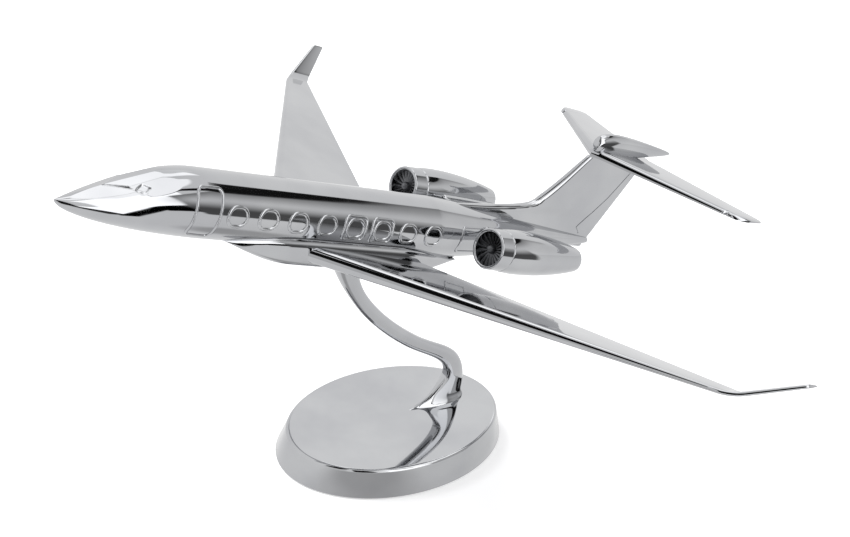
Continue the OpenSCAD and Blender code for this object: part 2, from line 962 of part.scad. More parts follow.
module peg_shape() {
    on_head()
        translate([0, 0, -peg_in])
            cylinder(r = peg_r, h = peg_in + peg_out, $fn = round_fn);
}

module arm_peg() {
    color(steel)
        peg_shape();
}

// Stand arm

// The arm's centre line: two curves, from the head down to the foot
foot_y = heel_y - 4.9;
knee = [mix(head_y, foot_y, 0.62), base_h + (head_z - base_h) * 0.418];
neck_a = [head_y + 2.2, head_z - 12];
neck_b = knee + [-14, 9.6];
shin_a = knee + [10.2, -6.9];
shin_b = [foot_y + 0.6, base_h + foot_h + 6.2];
ankle = [foot_y, base_h + foot_h * 0.55];

function bezier(a, b, c, d, t) =
    pow(1 - t, 3) * a + 3 * t * pow(1 - t, 2) * b + 3 * t * t * (1 - t) * c + pow(t, 3) * d;
function arm_point(t) =
    t < 1 ? bezier([head_y, head_z], neck_a, neck_b, knee, t) : bezier(knee, shin_a, shin_b, ankle, t - 1);
function arm_dir(t) =
    let (d = arm_point(min(2, t + 0.01)) - arm_point(max(0, t - 0.01)))
        d / norm(d);

// Depth and width of the arm: flared at the head, stouter towards the foot
function arm_depth(t) =
    mix(arm_d, head_d, pow(max(0, 1 - t / 0.42), 2)) + ankle_d * pow(max(0, (t - 1) / 1), 1.5);
function arm_width(t) =
    mix(arm_w, head_w, pow(max(0, 1 - t / 0.42), 2)) + ankle_w * pow(max(0, t - 1), 1.5);
ankle_d = 3.6;
ankle_w = 2.2;
arm_n = 20;
arm_steps = 30;
arm_square = 0.72;

function arm_ring(t) =
    let (
        p = arm_point(t), d = t == 0 ? [sin(-head_tilt), -cos(head_tilt)] : arm_dir(t),
        across = [-d[1], d[0]], h = arm_depth(t) / 2, w = arm_width(t) / 2
    )
        [for (k = [0 : arm_n - 1])
            let (a = 360 * k / arm_n, c = cos(a), s = sin(a),
                x = w * sign(c) * pow(abs(c), arm_square), v = h * sign(s) * pow(abs(s), arm_square))
                [x, p[0] + across[0] * v, p[1] + across[1] * v]];
// The head's face lies square to the peg
head_tilt = pitch;

// The foot: level sections that narrow to a toe in front
foot_n = 24;
foot_steps = 7;
function foot_section(t) =
    let (
        z = mix(base_h, base_h + foot_h, t),
        front = mix(toe_y, foot_y - 3.6, pow(t, 0.48)),
        rear = mix(heel_y, heel_y - 0.9, t * t),
        w = mix(foot_w, arm_w + ankle_w * 0.8, pow(t, 0.5)) / 2,
        mid = (front + rear) / 2,
        half = (rear - front) / 2
    )
        [for (k = [0 : foot_n - 1])
            let (a = 360 * k / foot_n, share = (1 - sin(a)) / 2,
                taper = mix(mix(0.18, 1, share), 1, t))
                [w * cos(a) * taper, mid - half * sin(a), z]];

module arm_shape() {
    skin([for (i = [0 : arm_steps]) arm_ring(2 * i / arm_steps)]);
    skin([for (i = [0 : foot_steps]) foot_section(i / foot_steps)]);
}

// The two screws stand in the foot's stout aft half
screw_inset = 3.8;
screw_spacing = 5.4;
arm_screw_y = [heel_y - screw_inset - screw_spacing, heel_y - screw_inset];

module arm_screw_places() {
    for (y = arm_screw_y)
        translate([0, y, 0])
            children();
}

// Underside of the base, above the floor by as much as the pad stands proud
base_foot = pad_proud;
screw_well = 3.4;

module arm_screw_shape() {
    translate([0, 0, screw_well])
        cylinder(r = arm_screw_r, h = base_h + arm_screw_grip - screw_well, $fn = round_fn);
}

module stand_arm() {
    color(chrome)
        difference() {
            arm_shape();
            peg_shape();
            arm_screw_places()
                arm_screw_shape();
        }
}

washer_h = 0.4;

module arm_screws() {
    color(steel)
        arm_screw_places()
            difference() {
                union() {
                    arm_screw_shape();
                    translate([0, 0, screw_well - washer_h - arm_screw_head_h])
                        cylinder(r = arm_screw_head_r, h = arm_screw_head_h, $fn = round_fn);
                    translate([0, 0, screw_well - washer_h - eps])
                        cylinder(r = arm_screw_r, h = washer_h + 2 * eps, $fn = round_fn);
                }
                cross_recess(arm_screw_head_r, arm_screw_head_h / 2, screw_well - washer_h - arm_screw_head_h);
            }
}

module arm_washers() {
    color(steel)
        arm_screw_places()
            translate([0, 0, screw_well - washer_h])
                difference() {
                    cylinder(r = arm_screw_head_r + 0.2, h = washer_h, $fn = round_fn);
                    translate([0, 0, -eps])
                        cylinder(r = arm_screw_r, h = washer_h + 2 * eps, $fn = round_fn);
                }
}

// Base

base_n = 72;
edge_steps = 5;
function oval(x, y, z) = [for (k = [0 : base_n - 1]) let (a = 360 * k / base_n) [x * cos(a), y * sin(a), z]];
function oval_flat(x, y) = [for (k = [0 : base_n - 1]) let (a = 360 * k / base_n) [x * cos(a), y * sin(a)]];

// The base's rings, from its foot to the rounded top edge, the other way round than the skin's front
base_rings = concat(
    [oval(base_x, base_y, base_foot)],
    [for (i = [0 : edge_steps])
        let (a = 90 * i / edge_steps, in = base_flare + base_edge * (1 - cos(a)))
            oval(base_x - in, base_y - in, base_h - base_edge * (1 - sin(a)))]
);

module base() {
    color(chrome)
        difference() {
            skin([for (ring = base_rings) [for (k = [base_n : -1 : 1]) ring[k % base_n]]]);
            translate([0, 0, pad_top - base_h])
                linear_extrude(base_h)
                    polygon(oval_flat(base_x - pad_margin, base_y - pad_margin));
            arm_screw_places() {
                arm_screw_shape();
                translate([0, 0, pad_top - eps])
                    cylinder(r = arm_screw_head_r + 0.3, h = screw_well - pad_top + eps, $fn = round_fn);
            }
        }
}
pad_top = pad_t;

module base_pad() {
    color(rubber)
        linear_extrude(pad_t)
            polygon(oval_flat(base_x - pad_margin - pad_fit, base_y - pad_margin - pad_fit));
}
// Gap round the pad in its recess
pad_fit = 0.15;

fuselage();
belly_fairing();
left_wing();
right_wing();
wing_screws();
tail_fin();
tailplane();
tail_bullet();
tail_screw();
left_pylon();
right_pylon();
pylon_dowels();
left_nacelle();
right_nacelle();
left_intake_ring();
right_intake_ring();
left_fan();
right_fan();
socket_bush();
arm_peg();
stand_arm();
arm_screws();
arm_washers();
base();
base_pad();
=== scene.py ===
import math

import bmesh
import bpy
import numpy as np
from bpy.props import FloatProperty, FloatVectorProperty, IntProperty, PointerProperty
from mathutils import Matrix, Vector


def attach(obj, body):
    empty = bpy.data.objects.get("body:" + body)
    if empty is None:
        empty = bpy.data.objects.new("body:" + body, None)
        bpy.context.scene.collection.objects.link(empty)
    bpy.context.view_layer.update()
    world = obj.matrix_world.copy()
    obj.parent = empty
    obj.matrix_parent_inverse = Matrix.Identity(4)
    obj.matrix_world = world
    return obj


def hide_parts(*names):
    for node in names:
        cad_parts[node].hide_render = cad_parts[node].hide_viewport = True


bl_info = {
    "name": "Chrome Desk Jet",
    "version": (1, 0, 0),
    "blender": (4, 5, 0),
    "location": "View3D > Sidebar > Desk Jet",
    "description": "Smooth castings, trim, finishes and studio for a desk model of a business jet",
    "category": "Object",
}

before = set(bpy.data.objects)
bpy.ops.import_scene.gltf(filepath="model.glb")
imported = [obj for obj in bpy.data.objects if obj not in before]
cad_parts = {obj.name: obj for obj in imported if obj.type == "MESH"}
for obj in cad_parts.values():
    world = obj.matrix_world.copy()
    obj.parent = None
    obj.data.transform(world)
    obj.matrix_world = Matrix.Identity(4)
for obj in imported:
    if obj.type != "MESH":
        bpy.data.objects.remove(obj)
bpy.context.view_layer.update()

# Shapes are worked out in millimetres in the aircraft's own axes: port, aft of the nose tip, up.
MM = 0.001
PITCH = 17.63
SEAT_B, HEAD_Y, HEAD_Z, SEAT_GAP = 91.0, -26.04, 67.15, 0.02
BODY_R, NOSE_L, NOSE_DROP = 8.4, 40.0, 2.7
NOSE_CURVE, CHIN_CURVE, BROW_CURVE, BROW_SHARE = 0.75, 0.5, 1.1, 0.88
TAIL_START, TAIL_END, TAIL_RISE, TAIL_TIP_R, TAIL_ROUND = 112.0, 182.0, 1.2, 0.9, 0.35
TAIL_SIDES, TAIL_TOP, TAIL_UNDER = 1.35, 1.2, 1.3
WINDOW_START, WINDOW_PITCH, WINDOW_RISE, FIRST_FRAMED = 44.0, 9.37, 0.9, 4
WINDOW_W, WINDOW_H, FRAME_W, FRAME_H, FRAME_R = 5.6, 4.8, 7.6, 6.6, 1.4
DOOR_B, DOOR_W, DOOR_TOP, DOOR_H = 35.4, 7.4, 6.7, 12.3
BAG_B, BAG_U, BAG_W, BAG_H, BAG_R = 125.4, 0.4, 9.0, 7.0, 0.8
LINE_ROOT, LINE_STEP, DOOR_LINE = 0.25, 0.45, 0.9
BELLY_START, BELLY_L, BELLY_DROP, BELLY_MID = 44.0, 82.0, 11.4, 7.0
BELLY_W, BELLY_END_W, BELLY_SUNK, BELLY_DEEPEN, BELLY_WIDEN = 9.0, 4.2, 1.6, 1.1, 0.9
BELLY_FRONTS, BELLY_END = (0.27, 0.3), 0.3
FOIL_EDGE, FOIL_TAPER, FOIL_CROWD, BLUNT = 0.36, 1.5, 1.6, 0.6
WING_ROOT_S, WING_BEND_S, WING_DROP, WING_DIHEDRAL = 6.6, 92.0, 8.2, 8.2
WING_LE, WING_LE_SWEEP, WING_TE, WING_TE_SWEEP = 62.4, 0.74, 106.0, 0.36
WING_T, WING_TIP_T = 4.4, 1.3
WINGLET_R, WINGLET_L, WINGLET_CANT, WINGLET_SWEEP = 8.0, 10.8, 41.0, 1.05
WINGLET_CHORD, WINGLET_T, TIP_ROUND = 4.2, 1.1, 0.5
TIP_MIDDLE, TIP_SHRINK, TIP_END = 0.45, 0.75, 0.72
SCREW_B, SCREW_S, SCREW_HEAD_R, SCREW_WELL = 7.5, 3.6, 1.2, 1.1
FIN_FOOT_TE, FIN_TOP_TE, FIN_TOP_LE, FIN_TOP_U = 181.0, 192.1, 166.6, 27.1
FIN_T, FIN_TOP_T, DORSAL_START, FIN_BEND_B, FIN_BEND_U = 2.8, 2.0, 121.0, 150.6, 10.4
STAB_S, STAB_LE, STAB_LE_SWEEP, STAB_TE, STAB_TE_SWEEP = 39.0, 167.0, 0.68, 194.5, 0.265
STAB_T, STAB_TIP_T, STAB_ROUND, STAB_BLUNT, STAB_SHRINK, STAB_MIDDLE = 2.4, 1.3, 3.0, 1.0, 0.4, 0.55
HORN_S, NOTCH_DEPTH, NOTCH_W = 34.4, 0.8, 0.34
STAB_U = FIN_TOP_U + STAB_T / 2 + 0.35
BULLET_B, BULLET_L, BULLET_R, BULLET_RISE, BULLET_SLIM = 167.2, 35.4, 3.9, 0.9, 0.62
BULLET_U = FIN_TOP_U + BULLET_R + 0.1
BULLET_FULL, BULLET_THINS, BULLET_END_R = 0.55, 0.45, 0.12
NAC_B, NAC_L, NAC_S, NAC_U, NAC_DROOP = 119.5, 36.8, 18.6, 3.6, 1.5
LIP_R, NAC_R, NOZZLE_R, NAC_WIDEST, NAC_CLOSE = 4.95, 6.0, 3.0, 0.3, 0.8
LIP_EDGE, AFT_EDGE, NOZZLE_DEPTH = 0.25, 1.1, 2.4
DUCT_R, RING_L, FAN_DEPTH, DUCT_L, SPINNER_R = 4.5, 4.6, 1.6, 7.2, 1.25
SPINNER_POINT, SPINNER_FOOT, PLATE, HUB_GAP = 1.5, 0.35, 1.25, 0.02
BLADE_T, BLADE_TIP_T, BLADE_CHORD, BLADE_CURVE, BLADE_TWIST = 0.2, 0.12, 1.2, 0.1, 14
BLADE_ROOT, BLADE_GAP, BLADE_MID = 0.8, 0.06, 0.75
PYLON_B, PYLON_L, PYLON_T, PYLON_FLARE, PYLON_FLARE_W = 130.0, 22.0, 1.7, 0.5, 0.55
PYLON_INNER, PYLON_SUNK, PYLON_MEETS = 0.72, 1.2, (7.6, NAC_S - NAC_R + 0.12)
ARM_W, ARM_D, HEAD_D, HEAD_W, HEAD_FLARE = 3.0, 4.1, 8.0, 5.2, 0.42
ARM_SQUARE, ARM_STEPS = 0.72, 72
ANKLE_D, ANKLE_W, TOE_Y, HEEL_Y, FOOT_W, FOOT_H = 3.6, 2.2, 5.6, 25.2, 7.2, 10.5
FOOT_Y, FOOT_SHARE, TOE_TAPER, TOE_CURVE = HEEL_Y - 4.9, 0.6, 0.3, 0.48
SHIN, HEEL_LEAN, ANKLE_SHARE = 3.6, 0.9, 0.8
# The knee's share of the way to the foot and of the height, where the ankle's curve ends in the foot, and the
# two handles of each of the arm's curves, in [y, z] from the curve's own ends
KNEE_SHARE, KNEE_RISE, ANKLE_END = 0.62, 0.418, 0.55
UPPER_HANDLES, LOWER_HANDLES = ([2.2, -12.0], [-14.0, 9.6]), ([10.2, -6.9], [0.6, 10.925])
# How often the foot is eased, over the heights between which it sets in and those where it ends
EASE_PASSES, EASE_LOW, EASE_HIGH = 140, (0.3, 2.4), (8.0, 16.0)
BASE_X, BASE_Y, BASE_H, BASE_FLARE, BASE_EDGE = 24.9, 36.4, 8.3, 2.1, 0.9
PAD_TOP, PAD_PROUD, PAD_MARGIN, SOLE_EDGE = 1.2, 0.3, 1.6, 0.25
BUSH_R = 2.15
GRAIN_DEPTH = 0.0006


def mix(a, b, t):
    return a + (b - a) * t


def smooth(edge_0, edge_1, x):
    """0 before edge_0, 1 after edge_1, and a soft step between them."""
    t = np.clip((x - edge_0) / (edge_1 - edge_0), 0.0, 1.0)
    return t * t * (3 - 2 * t)


def colour(hex_code):
    """An sRGB hex value as the linear colour that Blender's sockets take."""
    parts = [int(hex_code[i : i + 2], 16) / 255 for i in (1, 3, 5)]
    linear = [c / 12.92 if c <= 0.04045 else ((c + 0.055) / 1.055) ** 2.4 for c in parts]
    return (*linear, 1.0)


# Places


def turn_x(points, degrees):
    a = math.radians(degrees)
    x, y, z = np.moveaxis(np.asarray(points, float), -1, 0)
    return np.stack([x, y * math.cos(a) - z * math.sin(a), y * math.sin(a) + z * math.cos(a)], -1)


def on_aircraft(points):
    """Points in the aircraft's own axes, set on the arm's head at the model's pitch."""
    p = np.asarray(points, float) + [0, -SEAT_B, BELLY_DROP + SEAT_GAP]
    return turn_x(p, -PITCH) + [0, HEAD_Y, HEAD_Z]


def on_engine(points):
    """Points round the port engine's axis, which runs aft from the intake lip along Z."""
    return on_aircraft(turn_x(points, -90 - NAC_DROOP) + [NAC_S, NAC_B, NAC_U])


def mirrored(points):
    return np.asarray(points, float) * [-1, 1, 1]


# Meshes


def circle(n, power=1.0):
    """Cosines and sines of n steps round a circle, which turns squarer as the power falls."""
    a = 2 * math.pi * np.arange(n) / n
    c, s = np.cos(a), np.sin(a)
    return np.sign(c) * np.abs(c) ** power, np.sign(s) * np.abs(s) ** power


def ring(x, y, z):
    """Points from their coordinates, any of which may be one number for all the points."""
    return np.stack(np.broadcast_arrays(x, y, z), -1)


def loft(rings, closed=False):
    """Quads over rings, with a flat face at each end or, closed, back to the first ring."""
    rings = np.asarray(rings, float)
    rows, n = rings.shape[:2]
    faces = [
        (i * n + j, i * n + (j + 1) % n, (i + 1) % rows * n + (j + 1) % n, (i + 1) % rows * n + j)
        for i in range(rows if closed else rows - 1)
        for j in range(n)
    ]
    if not closed:
        faces += [tuple(range(n))[::-1], tuple(range((rows - 1) * n, rows * n))]
    return rings.reshape(-1, 3), faces


def revolve(profile, steps):
    """Rings round Z from [radius, height] points, whose ends may lie on the axis."""
    c, s = circle(steps)
    r, z = np.asarray(profile, float).T[:, :, None]
    return ring(r * c, r * s, z)


def tidy_mesh(mesh, sharp):
    """Merges doubles, points the faces outwards and keeps only the edges over sharp degrees hard."""
    bm = bmesh.new()
    bm.from_mesh(mesh)
    bmesh.ops.remove_doubles(bm, verts=bm.verts, dist=1e-7)
    bmesh.ops.dissolve_degenerate(bm, edges=bm.edges, dist=1e-7)
    bmesh.ops.recalc_face_normals(bm, faces=bm.faces)
    limit = math.radians(sharp)
    for face in bm.faces:
        face.smooth = True
    for edge in bm.edges:
        edge.smooth = len(edge.link_faces) == 2 and edge.calc_face_angle() < limit
    bm.to_mesh(mesh)
    bm.free()


def show(name, mesh):
    if name in bpy.data.objects:
        raise RuntimeError(f"{name} is made already")
    obj = bpy.data.objects.new(name, mesh)
    bpy.context.scene.collection.objects.link(obj)
    return obj


def finish(obj, nodes=(), body="aircraft", slot="polished_chrome"):
    """Gives a piece the material of its slot, parents it to its body's empty and hides the nodes that it
    stands for.
    """
    obj.data.materials.clear()
    obj.data.materials.append(FINISHES[slot])
    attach(obj, body)
    if nodes:
        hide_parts(*nodes)


def solid(name, points, faces, sharp=38):
    """A piece from points in millimetres, hard only at its edges over sharp degrees."""
    mesh = bpy.data.meshes.new(name)
    mesh.from_pydata((np.asarray(points) * MM).tolist(), [], faces)
    tidy_mesh(mesh, sharp)
    return show(name, mesh)


def drop(obj):
    """Removes a helper with its mesh."""
    mesh = obj.data
    bpy.data.objects.remove(obj)
    bpy.data.meshes.remove(mesh)


def baked(obj):
    """The object's modifiers turned into its plain mesh."""
    graph = bpy.context.evaluated_depsgraph_get()
    mesh = bpy.data.meshes.new_from_object(obj.evaluated_get(graph))
    old = obj.data
    obj.modifiers.clear()
    obj.data = mesh
    mesh.name = obj.name
    if old.users == 0:
        bpy.data.meshes.remove(old)
    return obj


def cut(obj, points, faces):
    """Takes a closed shape out of a piece."""
    tool = solid(obj.name + "_tool", points, faces)
    step = obj.modifiers.new("cut", "BOOLEAN")
    step.operation = "DIFFERENCE"
    step.solver = "EXACT"
    step.use_self = True
    step.object = tool
    baked(obj)
    drop(tool)
    tidy_mesh(obj.data, 50)
    return obj


def joined(parts):
    """Several closed shapes as one list of points and faces."""
    points, faces, start = [], [], 0
    for p, f in parts:
        points.append(np.asarray(p, float))
        faces += [tuple(i + start for i in face) for face in f]
        start += len(p)
    return np.concatenate(points), faces


def rod(radius, low, high):
    return loft(revolve([[radius, low], [radius, high]], 48))


# Node trees


def add(tree, kind, inputs=None, **settings):
    """A node with its settings, and its sockets set or linked by name or number."""
    node = tree.nodes.new(kind)
    for key, value in settings.items():
        setattr(node, key, value)
    for key, value in (inputs or {}).items():
        socket = node.inputs[key]
        if isinstance(value, bpy.types.NodeSocket):
            tree.links.new(value, socket)
        else:
            socket.default_value = value
    return node


def shader_out(tree, kind, *values, **settings):
    """The first result of a shader node, with its sockets set or linked in their order."""
    return add(tree, "ShaderNode" + kind, dict(enumerate(values)), **settings).outputs[0]


def geometry_out(tree, kind, **inputs):
    """The first result of a geometry node, with its sockets set or linked by name."""
    return add(tree, "GeometryNode" + kind, inputs).outputs[0]


def new_material(name):
    """An empty material and its node tree."""
    material = bpy.data.materials.new(name)
    material.use_nodes = True
    material.node_tree.nodes.clear()
    return material, material.node_tree


def ramp(tree, fac, stops):
    """A colour ramp over grey or coloured stops of (place, colour)."""
    node = add(tree, "ShaderNodeValToRGB", {"Fac": fac})
    elements = node.color_ramp.elements
    while len(elements) < len(stops):
        elements.new(0.5)
    for element, (place, value) in zip(elements, stops):
        element.position = place
        element.color = value if len(value) == 4 else (*value, 1.0)
    return node.outputs["Color"]


def grey(value):
    return (value, value, value, 1.0)


def noise(tree, place, size_mm, detail, roughness):
    inputs = {"Vector": place, "Scale": 1 / (size_mm * MM), "Detail": detail, "Roughness": roughness}
    return add(tree, "ShaderNodeTexNoise", inputs).outputs["Fac"]


def bump(tree, height, strength, depth_mm, **under):
    """Normals moved by a height, over those of an earlier bump where one is given."""
    inputs = {"Height": height, "Strength": strength, "Distance": depth_mm * MM, **under}
    return add(tree, "ShaderNodeBump", inputs).outputs["Normal"]


def cover(tree, inputs):
    """The material's surface as one Principled shader."""
    surface = add(tree, "ShaderNodeBsdfPrincipled", inputs).outputs["BSDF"]
    add(tree, "ShaderNodeOutputMaterial", {"Surface": surface})


def plated_metal(name, tone, worn_tone, rough, rough_spread, wave_mm, wave_depth, grain_mm):
    """Metal with slow tone and polish changes, the waviness of a hand-polished casting and a fine grain."""
    material, tree = new_material(name)
    place = add(tree, "ShaderNodeTexCoord").outputs["Object"]
    wear = noise(tree, place, 22, detail=3.0, roughness=0.55)
    haze = noise(tree, place, 6, detail=5.0, roughness=0.6)
    wave = noise(tree, place, wave_mm, detail=1.0, roughness=0.4)
    grain = noise(tree, place, grain_mm, detail=2.0, roughness=0.5)
    base = ramp(tree, wear, [(0.35, worn_tone), (0.65, tone)])
    polish = ramp(tree, haze, [(0.3, grey(rough)), (0.72, grey(rough + rough_spread))])
    slow = bump(tree, wave, 1.0, wave_depth)
    fine = bump(tree, grain, 1.0, GRAIN_DEPTH, Normal=slow)
    cover(tree, {"Base Color": base, "Metallic": 1.0, "Roughness": polish, "Normal": fine})
    return material


def build_materials(colours):
    """The finishes, made once and looked up by the record's slot names."""
    made = {}
    # Decorative bright chrome over nickel on a polished zinc casting: a mirror with a slight hand-polished
    # waviness and a faint haze where the buffing wheel has passed.
    made["polished_chrome"] = plated_metal(
        "bright chrome plate", (*colours.chrome, 1.0), colour("#b4b5b8"), colours.chrome_polish,
        rough_spread=0.03, wave_mm=14.0, wave_depth=0.012, grain_mm=0.5,
    )
    # Clear-passivated zinc on steel screws and dowels: greyer and duller than the chrome.
    made["zinc_plated_steel"] = plated_metal(
        "clear zinc plate on steel", colour("#a9adb2"), colour("#8d9196"), 0.28,
        rough_spread=0.14, wave_mm=3.0, wave_depth=0.004, grain_mm=0.35,
    )
    # Black nickel plate on the fans: a dark grey metal that still shows the blades' edges.
    made["dark_nickel"] = plated_metal(
        "black nickel plate", (*colours.fan, 1.0), colour("#5c5d60"), 0.42,
        rough_spread=0.1, wave_mm=3.0, wave_depth=0.004, grain_mm=0.3,
    )
    # Drawn brass bush, turned to size: yellow metal with a fine grain.
    made["brass"] = plated_metal(
        "turned brass", colour("#c8a35a"), colour("#a98646"), 0.22,
        rough_spread=0.12, wave_mm=2.0, wave_depth=0.003, grain_mm=0.3,
    )
    made["black_rubber"] = rubber_material(colours)
    return made


def rubber_material(colours):
    """Moulded black rubber sheet: matt, finely pebbled and a little dusty."""
    material, tree = new_material("moulded black rubber")
    place = add(tree, "ShaderNodeTexCoord").outputs["Object"]
    dust = noise(tree, place, 9, detail=4.0, roughness=0.6)
    pebble = add(
        tree, "ShaderNodeTexVoronoi", {"Vector": place, "Scale": 1 / (0.6 * MM)},
    ).outputs["Distance"]
    base = ramp(tree, dust, [(0.35, (*colours.pad, 1.0)), (0.75, colour("#2e2f32"))])
    rough = ramp(tree, dust, [(0.3, grey(0.62)), (0.7, grey(0.8))])
    pebbled = bump(tree, pebble, 0.6, 0.05)
    cover(tree, {"Base Color": base, "Roughness": rough, "Normal": pebbled, "IOR": 1.52})
    return material


FINISHES = {}


# Settings


class DESKJET_PG_trim(bpy.types.PropertyGroup):
    line_width: FloatProperty(
        name="Trim width", description="Width of the raised lines on the cabin's skin",
        default=0.9 * MM, min=0.2 * MM, max=1.2 * MM, unit="LENGTH",
    )
    line_height: FloatProperty(
        name="Trim height", description="Height of the raised lines above the skin",
        default=0.3 * MM, min=0.05 * MM, max=0.35 * MM, unit="LENGTH",
    )
    windows: IntProperty(
        name="Cabin windows", description="Window rings on each side of the cabin", default=8, min=1, max=8,
    )
    groove_width: FloatProperty(
        name="Rudder line", description="Width of the engraved line round the rudder",
        default=0.32 * MM, min=0.1 * MM, max=0.6 * MM, unit="LENGTH",
    )
    groove_depth: FloatProperty(
        name="Engraving depth", description="Depth of the engraved rudder line",
        default=0.2 * MM, min=0.05 * MM, max=0.4 * MM, unit="LENGTH",
    )


class DESKJET_PG_engines(bpy.types.PropertyGroup):
    blades: IntProperty(
        name="Fan blades", description="Blades of each fan", default=20, min=8, max=36,
    )
    blade_angle: FloatProperty(
        name="Blade angle", description="Stagger of the fan blades",
        default=math.radians(38), min=0.0, max=math.radians(80), subtype="ANGLE",
    )
    seam: FloatProperty(
        name="Ring seam", description="Rounding of the edges at the intake ring's seam",
        default=0.14 * MM, min=0.02 * MM, max=0.4 * MM, unit="LENGTH",
    )


class DESKJET_PG_finish(bpy.types.PropertyGroup):
    chrome: FloatVectorProperty(
        name="Chrome", description="Tone of the chrome plate", subtype="COLOR", size=3,
        default=colour("#bebfc1")[:3], min=0.0, max=1.0,
    )
    chrome_polish: FloatProperty(
        name="Chrome roughness", description="Roughness of the chrome where it is best polished",
        default=0.035, min=0.0, max=0.5, subtype="FACTOR",
    )
    fan: FloatVectorProperty(
        name="Fans", description="Tone of the dark plated fans", subtype="COLOR", size=3,
        default=colour("#808184")[:3], min=0.0, max=1.0,
    )
    pad: FloatVectorProperty(
        name="Pad", description="Colour of the rubber pad under the base", subtype="COLOR", size=3,
        default=colour("#1a1b1d")[:3], min=0.0, max=1.0,
    )


class DESKJET_PG_stage(bpy.types.PropertyGroup):
    floor_size: FloatProperty(
        name="Floor", description="Side of the pale floor", default=8.0, min=1.0, max=40.0, unit="LENGTH",
    )
    lens: FloatProperty(
        name="Lens", description="Focal length that gives the photograph's view",
        default=68.02, min=20, max=200,
    )


def settings():
    return bpy.context.scene.desk_jet


class DESKJET_PG_all(bpy.types.PropertyGroup):
    trim: PointerProperty(type=DESKJET_PG_trim)
    engines: PointerProperty(type=DESKJET_PG_engines)
    finish: PointerProperty(type=DESKJET_PG_finish)
    stage: PointerProperty(type=DESKJET_PG_stage)


# Fuselage


def hull_section(b):
    """Half width, middle height and half height of the fuselage at station b."""
    if b <= NOSE_L:
        t = b / NOSE_L
        swell = 1 - (1 - t) ** 2
        rise = math.sin(math.radians(90 * min(1, t / BROW_SHARE))) ** BROW_CURVE
        w, top = BODY_R * swell**NOSE_CURVE, mix(-NOSE_DROP, BODY_R, rise)
        bottom = -NOSE_DROP - (BODY_R - NOSE_DROP) * swell**CHIN_CURVE
    else:
        t = max(0, (b - TAIL_START) / (TAIL_END - TAIL_START))
        w = mix(BODY_R, TAIL_TIP_R, t**TAIL_SIDES)
        top = mix(BODY_R, TAIL_RISE + TAIL_TIP_R, t**TAIL_TOP)
        bottom = mix(-BODY_R, TAIL_RISE - TAIL_TIP_R, t**TAIL_UNDER)
    return w, (top + bottom) / 2, (top - bottom) / 2


# Flats of the nose and the windscreen, as height = lift + aft * station + out * distance from the centre
NOSE_FLAT = (-2.568, 0.4229, -0.3994)
SCREEN_FLAT = (-1.95, 0.375, -0.2)
SIDE_FLAT = (0.05, 0.352, -0.7807)
# The windscreen's lower edge runs aft of this station by the slope for each millimetre out
SCREEN_FOOT_B, SCREEN_FOOT_SLOPE = 10.6, 1.7
# The flats all end ahead of this station
FLATS_END = 30.0
# Side window: its middle and slope, and its half length, half height and depth
SIDE_WINDOW_B, SIDE_WINDOW_U, SIDE_WINDOW_SLOPE = 18.7, 3.55, 0.31
SIDE_WINDOW_L, SIDE_WINDOW_H, SIDE_WINDOW_DEPTH = 2.15, 0.85, 0.34
# The shares of its half size between which it deepens, and the way it sinks, inwards and down
SIDE_WINDOW_EDGE, SIDE_WINDOW_IN = (0.72, 1.02), (0.72, 0.69)


def flat_depth(points, flat):
    """How far the points stand above a flat, and the flat's upward normal on their side."""
    lift, aft, out = flat
    size = math.sqrt(1 + aft * aft + out * out)
    depth = (points[..., 2] - lift - aft * points[..., 1] - out * np.abs(points[..., 0])) / size
    return np.maximum(depth, 0), ring(-out * np.sign(points[..., 0]), -aft, 1.0) / size


def facet_nose(points):
    """Cuts the flats of nose and windscreen, and sinks the small side windows."""
    out = np.abs(points[..., 0])
    behind = smooth(-0.25, 0.25, points[..., 1] - SCREEN_FOOT_B - SCREEN_FOOT_SLOPE * out)
    for flat, share in ((NOSE_FLAT, 1 - behind), (SCREEN_FLAT, behind), (SIDE_FLAT, behind)):
        depth, normal = flat_depth(points, flat)
        points = points - normal * (depth * share)[..., None]
    # Side window: a small lozenge pressed into the side flat
    away_b = points[..., 1] - SIDE_WINDOW_B
    away_u = points[..., 2] - SIDE_WINDOW_U - SIDE_WINDOW_SLOPE * away_b
    place = np.abs(away_b) / SIDE_WINDOW_L + np.abs(away_u) / SIDE_WINDOW_H
    sunk = SIDE_WINDOW_DEPTH * (1 - smooth(*SIDE_WINDOW_EDGE, place)) * (np.abs(points[..., 0]) > 2)
    inward = ring(-np.sign(points[..., 0]) * SIDE_WINDOW_IN[0], 0.0, -SIDE_WINDOW_IN[1])
    return points + inward * sunk[..., None]


def build_fuselage():
    c, s = circle(180)
    stations = np.concatenate([
        NOSE_L * (np.arange(0, 151) / 150) ** 1.45,
        np.linspace(NOSE_L, TAIL_START, 230)[1:],
        np.linspace(TAIL_START, TAIL_END, 90)[1:],
    ])
    # The tail cone's end is rounded over
    ends = [(TAIL_END + TAIL_ROUND * math.sin(a), math.cos(a)) for a in np.radians([30, 60, 80])]
    rings = []
    for b, share in [(b, 1) for b in stations] + ends:
        w, mid, h = hull_section(min(b, TAIL_END))
        rings.append(ring(w * share * c, b, mid + h * share * s))
    rings = np.array(rings)
    nose = stations.searchsorted(FLATS_END)
    rings[:nose] = facet_nose(rings[:nose])
    return solid("fuselage_casting", *loft(on_aircraft(rings)), sharp=50)


# Raised lines on the cabin


def rounded_outline(w, h, r, b, u):
    """Points of a rectangle with rounded corners, anticlockwise round station b and height u."""
    points = []
    for x, y, start in ((1, 1, 0), (-1, 1, 90), (-1, -1, 180), (1, -1, 270)):
        for a in np.radians(start + np.linspace(0, 90, 11)):
            points.append([b + x * (w / 2 - r) + r * math.cos(a), u + y * (h / 2 - r) + r * math.sin(a)])
    return np.array(points)


